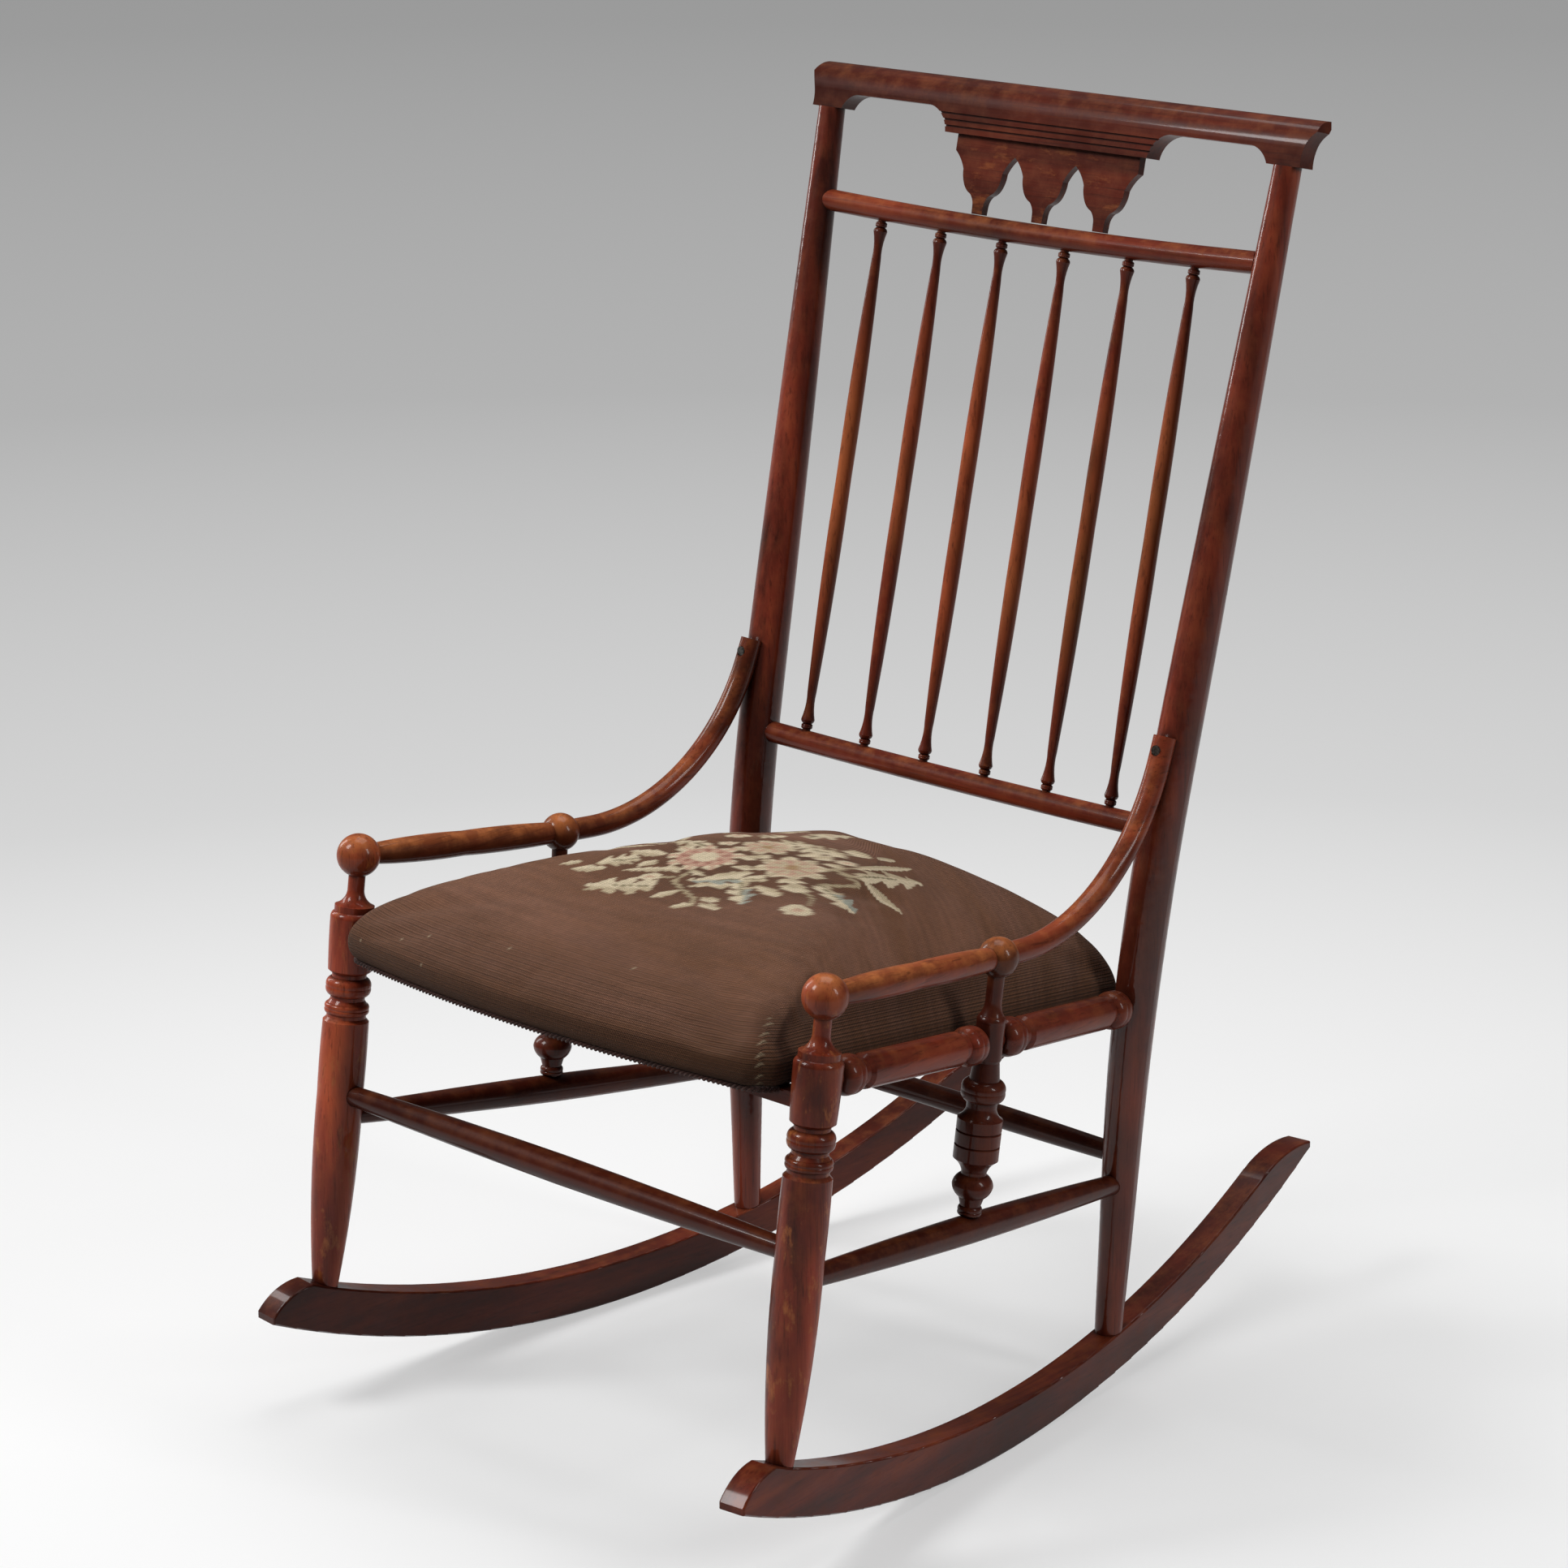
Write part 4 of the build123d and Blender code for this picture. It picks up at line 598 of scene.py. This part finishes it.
def lobedColour(x, y, leaf):
    spec = bouquetSet
    part, off = leafPlace(x, y, leaf)
    if not 0 <= part <= 1:
        return None
    tooth = (part * 3.2 + (0.35 if off > 0 else 0.0)) % 1.0
    belly = math.sin(math.pi * min(1.0, 0.16 + part * 0.84)) ** 0.6
    half = leaf[4] / 2 * belly * (1.05 - 0.75 * tooth ** 1.3)
    if part > 0.78:
        half = max(half, leaf[4] * 0.20 * (1 - part) / 0.22)
    if abs(off) > half:
        return None
    if abs(off) < 1.0 and part < 0.6:
        return spec["sage"]
    if leaf[5] and off > 0.15 * half and part > 0.3:
        return spec["blue"]
    return spec["ivory"] if off < 0.3 * half else spec["cream"]


def slenderColour(x, y, leaf):
    spec = bouquetSet
    part, off = leafPlace(x, y, leaf)
    if not 0 <= part <= 1 or abs(off) > leaf[4] / 2 * math.sin(math.pi * part) ** 0.75:
        return None
    return spec["cream"] if off > 0 else spec["ivory"]


def bloomColour(x, y, bloom):
    # two rows of petals round a pale eye, with the ground showing between the outer ones
    spec = bouquetSet
    across, deep, radius, petals, turn, pink = bloom
    away = math.hypot(x - across, y - deep) / radius
    if away > 1:
        return None
    angle = (math.atan2(y - deep, x - across) + turn) / math.tau * petals
    swing = abs((angle + (0.5 if away < 0.60 else 0.0)) % 1.0 - 0.5) * 2
    if away < (0.36 if pink else 0.20):
        return spec["ivory"] if pink else spec["ochre"]
    if away < 0.60:
        if swing > 0.72:
            return spec["rose"] if pink else spec["pink"]
        return (spec["pink"] if swing > 0.35 else spec["blush"]) if pink else spec["cream"]
    if swing > 1.10 - 0.85 * (away - 0.60):
        return None
    if away > 0.70 + 0.30 * math.cos(swing * math.pi / 2):
        return None
    if swing < 0.24:
        return spec["blush"] if pink else spec["cream"]
    return spec["ivory"] if away > 0.72 else (spec["pink"] if pink else spec["blush"])


def budColour(x, y, bud):
    spec = bouquetSet
    away = math.hypot(x - bud[0], (y - bud[1]) * 1.25) / bud[2]
    if away > 1:
        return None
    return spec["blush"] if away < 0.4 else spec["ivory"]


def stemColour(x, y, line):
    for first, second in zip(line, line[1:]):
        run = Vector((second[0] - first[0], second[1] - first[1]))
        offset = Vector((x - first[0], y - first[1]))
        part = clamped(offset.dot(run) / run.length_squared)
        if (offset - run * part).length < bouquetSet["stemHalf"]:
            return bouquetSet["stem"]
    return None


def bouquetColour(x, y):
    spec = bouquetSet
    if math.hypot(x, y) > spec["reach"]:
        return None
    layers = {"blooms": bloomColour, "buds": budColour, "lobed": lobedColour, "slender": slenderColour,
              "ovals": slenderColour, "stems": stemColour}
    for kind, colourOf in layers.items():
        for shape in spec[kind]:
            colour = colourOf(x, y, shape)
            if colour:
                return colour
    return None


groundSet = {
    "plum": (0.215, 0.098, 0.058),
    "olive": (0.174, 0.073, 0.034),
    "speck": (0.40, 0.30, 0.19),
    "specks": 0.0007,            # share of pale stitches low on the cushion
    "seam": (0.80, 38),          # ring at which the sewn corner begins, and its stitches
    "rows": (1.3, 9.0, 3.0),     # scales across and along, and the layer of each unevenness
    "patches": (9.0, 40.0, 7.0),
    "streaks": (4.0, 55.0, 5.0),
    "fading": (2.2, 2.6, 9.0),
}


def unevenness(s, t, kind):
    across, along, layer = groundSet[kind]
    return noise.noise(Vector((s * across, t * along, layer)))


def groundColour(s, t, level, shade, chance):
    # wool of a few dye lots, in rows: browner on the crown, redder low on the sides; stitches are also
    # painted darker the lower they lie and a little lighter low on the sides, as painted shade and light
    spec = groundSet
    lot = 0.42 + 0.8 * unevenness(s, t, "rows") + 0.35 * unevenness(s, t, "patches")
    lot = clamped(lot + 0.55 * max(0.0, 1 - level / 0.028) + shade)
    # painted shade and light: stitches darker the lower they lie, and low ones on the sides a little lighter
    light = (0.90 + 0.20 * chance.random()) * (0.60 + 0.40 * clamped((level + 0.012) / 0.065))
    beside = clamped((abs(s) - abs(t)) * 4) * clamped((0.062 - level) / 0.03)
    light *= (1 + 0.14 * beside) * (1 - 0.30 * shade)
    light *= 1 + 0.20 * unevenness(s, t, "streaks") + 0.10 * unevenness(s, t, "fading")
    seamFrom, seamStitches = spec["seam"]
    sewn = s > 0 > t and abs(s + t) < 0.011 and max(s, -t) > seamFrom and (s * seamStitches) % 1 < 0.3
    if sewn or (level < 0.045 and chance.random() < spec["specks"]):
        return spec["speck"]
    return tuple((plum + (olive - plum) * lot) * light for plum, olive in zip(spec["plum"], spec["olive"]))


def stitchColours(mesh, chance):
    # one colour for each stitch, spread over the corners that it shares
    layer = mesh.color_attributes.new("stitchColour", "FLOAT_COLOR", "POINT")
    weave = mesh.uv_layers["weave"].data
    places = {loop.vertex_index: weave[loop.index].uv.copy() for loop in mesh.loops}
    middleX, middleBack = bouquetSet["middle"]
    cosTurn, sinTurn = math.cos(bouquetSet["turn"]), math.sin(bouquetSet["turn"])
    shadeX, shadeBack, shadeWide, shadeLong = bouquetSet["shade"]
    values = []
    for vertex in mesh.vertices:
        away = vertex.co - seatSet["origin"]
        x = away.dot(seatSet["across"]) * 1000 - middleX
        back = away.dot(seatSet["back"]) * 1000 - middleBack
        x, back = x * cosTurn + back * sinTurn, back * cosTurn - x * sinTurn
        colour = bouquetColour(x, back)
        if colour:
            light = 0.90 + 0.20 * chance.random()
            colour = tuple(part * light for part in colour)
        else:
            shade = math.hypot((x - shadeX) / shadeWide, (back - shadeBack) / shadeLong)
            shade = max(0.0, 1 - shade ** 3)
            colour = groundColour(*places[vertex.index], away.dot(seatSet["up"]), shade, chance)
        values += [*colour, 1.0]
    layer.data.foreach_set("color", values)


needleSet = {
    "stitch": 215.0, "ribs": 105, "span": (0.232, 0.262, 1.0),
    "roughness": 0.92, "sheen": 0.05, "gloss": 0.18, "depth": 0.0007,
    "between": (0.020, 0.010, 0.006), "groove": (0.026, 0.013, 0.006), "fuzz": (0.30, 0.22, 0.15),
}


def needlepoint(name):
    spec = needleSet
    finish, tree, shader = startFinish(name)
    colour = addNode(tree, "VertexColor", layer_name="stitchColour").outputs["Color"]
    weave = addNode(tree, "UVMap", uv_map="weave").outputs["UV"]
    cloth = stretched(tree, weave, spec["span"])
    waves = {"Vector": cloth, "Scale": spec["stitch"], "Distortion": 0.6, "Detail": 1.0, "Detail Scale": 0.4}
    warp, weft = [addNode(tree, "TexWave", waves, wave_type="BANDS", bands_direction=turn).outputs["Fac"]
                  for turn in ("X", "Y")]
    stitch = addSum(tree, "MULTIPLY", addSum(tree, "POWER", warp, 0.5), addSum(tree, "POWER", weft, 0.7))
    # ribs run round the sides, fainter in front and behind, with painted shade along their hollows
    outward = addNode(tree, "VectorMath", {0: weave}, operation="ABSOLUTE").outputs[0]
    split = addNode(tree, "SeparateXYZ", {0: outward})
    ring = addSum(tree, "MAXIMUM", split.outputs["X"], split.outputs["Y"])
    low = addRamp(tree, ring, [(0.70, grey(0.0)), (0.84, grey(1.0))])
    beside = addSum(tree, "GREATER_THAN", split.outputs["X"], split.outputs["Y"])
    low = addSum(tree, "MULTIPLY", low, addSum(tree, "MAXIMUM", beside, 0.45))
    rib = addSum(tree, "MULTIPLY", ring, spec["ribs"] * math.tau)
    rib = addNode(tree, "Math", {0: rib}, operation="SINE").outputs[0]
    gap = addSum(tree, "MULTIPLY", addRange(tree, rib, 0.3, -0.7), low)
    fuzz = addNoise(tree, cloth, 1900.0, 3.0, 0.7)
    # painted shade in the gaps between stitches and along the ribs' hollows
    colour = shaded(tree, colour, stitch, (0.05, 0.50), 0.42, spec["between"])
    colour = addMix(tree, addSum(tree, "MULTIPLY", gap, 0.6), colour, spec["groove"])
    colour = addMix(tree, addRamp(tree, fuzz, [(0.60, grey(0.0)), (0.85, grey(0.16))]), colour, spec["fuzz"])
    tree.links.new(colour, shader.inputs["Base Color"])
    shader.inputs["Roughness"].default_value = spec["roughness"]
    shader.inputs["Sheen Weight"].default_value = spec["sheen"]
    shader.inputs["Sheen Roughness"].default_value = 0.5
    shader.inputs["Specular IOR Level"].default_value = spec["gloss"]
    fine = addBump(tree, fuzz, 0.25, 0.0006)
    ridged = addBump(tree, addSum(tree, "SUBTRACT", 1.0, gap), 0.5, spec["depth"], fine)
    tree.links.new(addBump(tree, stitch, 0.75, spec["depth"], ridged), shader.inputs["Normal"])
    return finish


def addCover(spec):
    chance = random.Random(11)
    points, faces, places = coverGrid(spec["rings"], spec["start"])
    points = blowUp(points, faces, places, spec)
    points = pleated(points, places, pleatSet)
    coarse = bpy.data.meshes.new("coverCoarse")
    coarse.from_pydata([tuple(point) for point in points], [], faces)
    weave = coarse.uv_layers.new(name="weave")
    for loop in coarse.loops:
        weave.data[loop.index].uv = places[loop.vertex_index]
    holder = bpy.data.objects.new("coverCoarse", coarse)
    scene.collection.objects.link(holder)
    holder.modifiers.new("finer", "SUBSURF").levels = 1
    smooth = bpy.data.meshes.new_from_object(holder.evaluated_get(bpy.context.evaluated_depsgraph_get()))
    smooth.name = "seatCover"
    bpy.data.objects.remove(holder)
    stitchColours(smooth, chance)
    smooth.materials.clear()
    smooth.materials.append(needlepoint("needlepoint"))
    smooth.polygons.foreach_set("use_smooth", [True] * len(smooth.polygons))
    cover = bpy.data.objects.new("seatCover", smooth)
    scene.collection.objects.link(cover)
    thick = cover.modifiers.new("thick", "SOLIDIFY")
    thick.thickness = spec["thick"]
    thick.offset = -1
    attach(cover, "root")
    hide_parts("seat_cover")
    return cover


cover = addCover(coverSet)
print("cover sewn:", len(cover.data.polygons), "stitches")


# filling, straps and cloths inside and under the seat

def plainCloth(name, dark, light, threads, gap):
    finish, tree, shader = startFinish(name)
    place = addNode(tree, "TexCoord").outputs["Object"]
    waves = {"Vector": place, "Scale": threads, "Distortion": 1.2, "Detail": 1.0}
    warp, weft = [addNode(tree, "TexWave", waves, wave_type="BANDS", bands_direction=turn).outputs["Fac"]
                  for turn in ("X", "Y")]
    weave = addSum(tree, "MULTIPLY", warp, weft)
    tone = addNoise(tree, place, 38.0, 5.0, 0.6)
    colour = addRamp(tree, tone, [(0.32, dark), (0.68, light)])
    # painted shade in the gaps between the threads
    colour = shaded(tree, colour, weave, (0.05, 0.5), gap, (0.012, 0.009, 0.007))
    tree.links.new(colour, shader.inputs["Base Color"])
    shader.inputs["Roughness"].default_value = 0.95
    shader.inputs["Sheen Weight"].default_value = 0.15
    tree.links.new(addBump(tree, weave, 0.6, 0.0007), shader.inputs["Normal"])
    return finish


fillingSet = {
    "rings": 26, "sunk": 0.0075, "low": 0.0148,
    "middle": 0.19, "drawn": 0.004,      # the underside is drawn in a little towards its middle
    "strands": (300.0, 60.0, 120.0), "turn": (0.4, 0.2, 0.7), "roughness": 0.85,
    "colours": [(0.32, (0.03, 0.022, 0.016)), (0.6, (0.16, 0.12, 0.08)), (0.8, (0.30, 0.25, 0.18))],
}


def hairFilling(name):
    spec = fillingSet
    finish, tree, shader = startFinish(name)
    place = addNode(tree, "TexCoord").outputs["Object"]
    strands = addNoise(tree, stretched(tree, place, spec["strands"], spec["turn"]), 1.0, 8.0, 0.75)
    tree.links.new(addRamp(tree, strands, spec["colours"]), shader.inputs["Base Color"])
    shader.inputs["Roughness"].default_value = spec["roughness"]
    tree.links.new(addBump(tree, strands, 0.9, 0.002), shader.inputs["Normal"])
    return finish


def addFilling(spec):
    points, faces = coverGrid(spec["rings"], spec["sunk"])[:2]
    up = seatSet["up"]
    floor = seatPoint(0, 0, spec["low"]).dot(up)
    lifted = [point + up * max(0.0, floor - point.dot(up)) for point in points]
    base = [point + up * (floor - point.dot(up)) for point in lifted]
    middle = seatPoint(0, spec["middle"], spec["low"])
    base = [point + (middle - point) * spec["drawn"] for point in base]
    wide = 2 * spec["rings"] + 1
    size = len(lifted)
    faces += [tuple(size + corner for corner in reversed(face)) for face in faces]
    ring = list(range(wide)) + [row * wide + wide - 1 for row in range(1, wide)]
    ring += [wide * wide - 1 - step for step in range(1, wide)]
    ring += [row * wide for row in range(wide - 2, 0, -1)]
    for first, second in zip(ring, ring[1:] + ring[:1]):
        faces.append((second, first, size + first, size + second))
    filling = addPiece("seatFilling", lifted + base, faces, hairFilling("hairFilling"))
    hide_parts("seat_stuffing")


sheetSet = {
    "rings": 24, "middle": (0.0, 0.19),
    "flatFrom": 0.80,            # ring from which the cloth lies flat on the frame
    "ripple": 0.00015, "ripples": 7,
}
hessianSet = {
    "name": "seatHessian", "node": "seat_hessian", "slot": "hessian", "cloth": "hessianCloth",
    "dark": (0.24, 0.17, 0.09), "light": (0.38, 0.29, 0.17), "threads": 240.0, "gap": 0.7,
    "inset": 0.0115, "level": 0.0132, "sag": 0.0, "thick": 0.0008,
}
liningSet = {
    "name": "seatLining", "node": "seat_lining", "slot": "lining", "cloth": "liningCloth",
    "dark": (0.020, 0.018, 0.016), "light": (0.045, 0.040, 0.035), "threads": 420.0, "gap": 0.5,
    "inset": 0.0095, "level": -0.0090, "sag": 0.004, "thick": 0.0008,
}


def addSheet(spec):
    # cloth tacked to the frame and hanging a little in the middle
    rings, middle, ripples = sheetSet["rings"], sheetSet["middle"], sheetSet["ripples"]
    inset = spec["inset"]
    points = []
    for row in range(-rings, rings + 1):
        for column in range(-rings, rings + 1):
            s, t = column / rings, row / rings
            ring = max(abs(s), abs(t))
            edge = outlinePoint(s / ring, t / ring, inset, 0.0) if ring else middle
            x, back = partWay(middle, edge, ring)
            drop = spec["sag"] * (1 - min(1.0, (ring / sheetSet["flatFrom"]) ** 2)) ** 2
            drop += sheetSet["ripple"] * noise.noise(Vector((s * ripples, t * ripples, 2.0)))
            points.append(seatPoint(x, back, spec["level"] - drop))
    wide = 2 * rings + 1
    faces = [(first, first + 1, first + 1 + wide, first + wide)
             for line in range(2 * rings) for first in range(line * wide, line * wide + 2 * rings)]
    finish = plainCloth(spec["cloth"], spec["dark"], spec["light"], spec["threads"], spec["gap"])
    cloth = addPiece(spec["name"], points, faces, finish)
    body = cloth.modifiers.new("thick", "SOLIDIFY")
    body.thickness = spec["thick"]
    body.offset = 0
    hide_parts(spec["node"])


webbingSet = {
    "inset": 0.0135, "width": 0.050, "count": 3, "thick": 0.0012, "level": 0.0106, "lift": 0.0008,
    "steps": 60,
    "dark": (0.30, 0.22, 0.12), "light": (0.46, 0.36, 0.22), "threads": 260.0, "gap": 0.5,
}


def addWebbing(spec):
    # straps woven over and under each other
    front, rear = seatSet["front"] + spec["inset"], seatSet["rear"] - spec["inset"]
    taper = (seatSet["frontHalf"] - seatSet["rearHalf"]) / (seatSet["rear"] - seatSet["front"])
    steps = spec["steps"]
    points, faces = [], []
    backs = [seatSet["front"] + (seatSet["rear"] - seatSet["front"]) * (step + 1) / (spec["count"] + 1)
             for step in range(spec["count"])]
    sides = [((step + 1) / (spec["count"] + 1) * 2 - 1) * (seatSet["rearHalf"] - spec["inset"])
             for step in range(spec["count"])]

    def strap(spots, aside):
        first = len(points)
        for x, back, level in spots:
            for side in (-0.5, -0.17, 0.17, 0.5):
                points.append(seatPoint(x + aside[0] * side, back + aside[1] * side, level))
        for row in range(len(spots) - 1):
            for column in range(3):
                corner = first + row * 4 + column
                faces.append((corner, corner + 1, corner + 5, corner + 4))

    def wave(place, crossings, start):
        lift = 0.0
        for number, crossing in enumerate(crossings):
            near = max(0.0, 1 - abs(place - crossing) / (spec["width"] * 0.75))
            lift += (1 if (number + start) % 2 else -1) * spec["lift"] * math.sin(near * math.pi / 2)
        return spec["level"] + spec["thick"] / 2 + lift

    for number, x in enumerate(sides):
        rows = [front + (rear - front) * step / steps for step in range(steps + 1)]
        strap([(x, back, wave(back, backs, number)) for back in rows], (spec["width"], 0))
    for number, back in enumerate(backs):
        half = seatSet["frontHalf"] - taper * (back + spec["width"] / 2 - seatSet["front"]) - spec["inset"]
        rows = [half * (2 * step / steps - 1) for step in range(steps + 1)]
        strap([(x, back, wave(x, sides, number + 1)) for x in rows], (0, spec["width"]))
    cloth = plainCloth("webbingCloth", spec["dark"], spec["light"], spec["threads"], spec["gap"])
    straps = addPiece("seatWebbing", points, faces, cloth)
    body = straps.modifiers.new("thick", "SOLIDIFY")
    body.thickness = spec["thick"]
    body.offset = 0
    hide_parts("seat_webbing")


pipingSet = {
    "level": -0.0102, "inset": 0.0056, "thread": 0.00125, "twist": 0.00090, "pitch": 0.0075, "strands": 2,
    "sides": 8, "steps": 200,
    "past": 40, "turnIn": 0.40,          # steps round each front corner, and how far back they go
    "dark": (0.050, 0.016, 0.011), "light": (0.110, 0.034, 0.022), "threads": 700.0, "gap": 0.4,
}


def addPiping(spec):
    # twisted cord under the hem, along the front and round both front corners
    line = []
    last = spec["steps"] + spec["past"]
    for step in range(-last, last + 1):
        part = step / spec["steps"]
        if abs(part) <= 1:
            s, t = part, -1.0
        else:
            s, t = math.copysign(1, part), -1 + (abs(part) - 1) * spec["turnIn"]
        x, back = outlinePoint(s, t, spec["inset"], 0.0)
        line.append(seatPoint(x, back, spec["level"]))
    points, faces = [], []
    sides = spec["sides"]
    for strand in range(spec["strands"]):
        run = 0.0
        first = len(points)
        for number, point in enumerate(line):
            ahead = (line[min(number + 1, len(line) - 1)] - line[max(number - 1, 0)]).normalized()
            across = ahead.cross(seatSet["up"]).normalized()
            lift = across.cross(ahead)
            if number:
                run += (point - line[number - 1]).length
            turn = run / spec["pitch"] * math.tau + math.tau * strand / spec["strands"]
            centre = point + (across * math.cos(turn) + lift * math.sin(turn)) * spec["twist"]
            for side in range(sides):
                angle = math.tau * side / sides
                points.append(centre + (across * math.cos(angle) + lift * math.sin(angle)) * spec["thread"])
        for number in range(len(line) - 1):
            for side in range(sides):
                here, there = first + number * sides + side, first + number * sides + (side + 1) % sides
                faces.append((here, here + sides, there + sides, there))
        for ringStart, order in ((first, 1), (first + (len(line) - 1) * sides, -1)):
            faces.append(tuple(ringStart + side for side in range(sides))[::order])
    cord = plainCloth("pipingWool", spec["dark"], spec["light"], spec["threads"], spec["gap"])
    piping = addPiece("seatPiping", points, faces, cord)
    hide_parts("seat_piping")


addFilling(fillingSet)
addSheet(hessianSet)
addSheet(liningSet)
addWebbing(webbingSet)
addPiping(pipingSet)
print("filling, straps, cloths and piping made")


# floor, light and surroundings

stageSet = {
    "half": 30.0,
    "centre": (0.56, -0.44, 0.0),                        # the palest spot, in front of the chair
    "paint": [(0.0, 0.92), (0.9, 0.90), (2.6, 0.84)],    # floor near it, and the backdrop further off
    "glow": [(1.0, 0.98), (2.2, 0.66), (4.26, 0.445), (8.7, 0.330), (16.0, 0.27)],
    "fade": (0.6, 2.4),
    "lift": 0.45,         # how much of the backdrop's paleness is in the floor by the chair
    "bounce": 0.22,       # what the floor sends back to the chair
    "world": 0.10,
}


def addFloor(spec):
    half = spec["half"]
    mesh = bpy.data.meshes.new("floor")
    corners = [(-half, -half, 0), (half, -half, 0), (half, half, 0), (-half, half, 0)]
    mesh.from_pydata(corners, [], [(0, 1, 2, 3)])
    finish, tree, shader = startFinish("floorPaint")
    place = addNode(tree, "TexCoord").outputs["Object"]
    offset = addNode(tree, "VectorMath", {0: place, 1: spec["centre"]}, operation="SUBTRACT")
    away = addNode(tree, "VectorMath", {0: offset.outputs["Vector"]}, operation="LENGTH").outputs["Value"]

    def rings(stops):
        share = addSum(tree, "DIVIDE", away, stops[-1][0])
        return addRamp(tree, share, [(far / stops[-1][0], grey(value)) for far, value in stops])

    near = addNode(tree, "BsdfDiffuse", {"Color": rings(spec["paint"])}).outputs["BSDF"]
    far = addNode(tree, "Emission", {"Color": rings(spec["glow"])}).outputs["Emission"]
    limits = {"Value": away, 1: spec["fade"][0], 2: spec["fade"][1], 3: spec["lift"]}
    fade = addNode(tree, "MapRange", limits, interpolation_type="SMOOTHSTEP")
    seen = addNode(tree, "MixShader", {0: fade.outputs["Result"], 1: near, 2: far}).outputs["Shader"]
    bounce = addNode(tree, "BsdfDiffuse", {"Color": (*grey(spec["bounce"]), 1)}).outputs["BSDF"]
    rays = addNode(tree, "LightPath").outputs
    direct = addSum(tree, "MAXIMUM", rays["Is Camera Ray"], rays["Is Glossy Ray"])
    direct = addSum(tree, "MAXIMUM", direct, rays["Is Transmission Ray"])
    both = addNode(tree, "MixShader", {0: direct, 1: bounce, 2: seen}).outputs["Shader"]
    tree.links.new(both, tree.nodes["Material Output"].inputs["Surface"])
    tree.nodes.remove(shader)
    mesh.materials.append(finish)
    floor = bpy.data.objects.new("floor", mesh)
    scene.collection.objects.link(floor)


lampSet = {
    "overheadPanel": {"place": (-0.4, 0.7, 3.5), "aim": (0, 0, 0.3), "size": (2.2, 2.2), "power": 48.0},
    "frontPanel": {"place": (-1.6, -2.3, 2.9), "aim": (0, 0, 0.45), "size": (1.0, 1.2), "power": 80.0},
    "leftPanel": {"place": (-3.2, -0.3, 1.7), "aim": (0, 0, 0.55), "size": (0.6, 1.8), "power": 32.0},
    "rightPanel": {"place": (3.1, 0.6, 2.2), "aim": (0, 0, 0.55), "size": (0.6, 1.6), "power": 34.0},
}


def addLamp(name, spec):
    lamp = bpy.data.lights.new(name, "AREA")
    lamp.shape = "RECTANGLE"
    lamp.size, lamp.size_y = spec["size"]
    lamp.energy = spec["power"]
    holder = bpy.data.objects.new(name, lamp)
    holder.location = spec["place"]
    toward = Vector(spec["aim"]) - Vector(spec["place"])
    holder.rotation_euler = toward.to_track_quat("-Z", "Y").to_euler()
    scene.collection.objects.link(holder)


def addSurroundings(spec):
    world = bpy.data.worlds.new("studio")
    world.use_nodes = True
    scene.world = world
    sky = world.node_tree.nodes["Background"]
    sky.inputs["Color"].default_value = (*grey(spec["world"]), 1)
    sky.inputs["Strength"].default_value = 1.0


addFloor(stageSet)
for lampName, lampSpec in lampSet.items():
    addLamp(lampName, lampSpec)
addSurroundings(stageSet)
print("floor and light set")
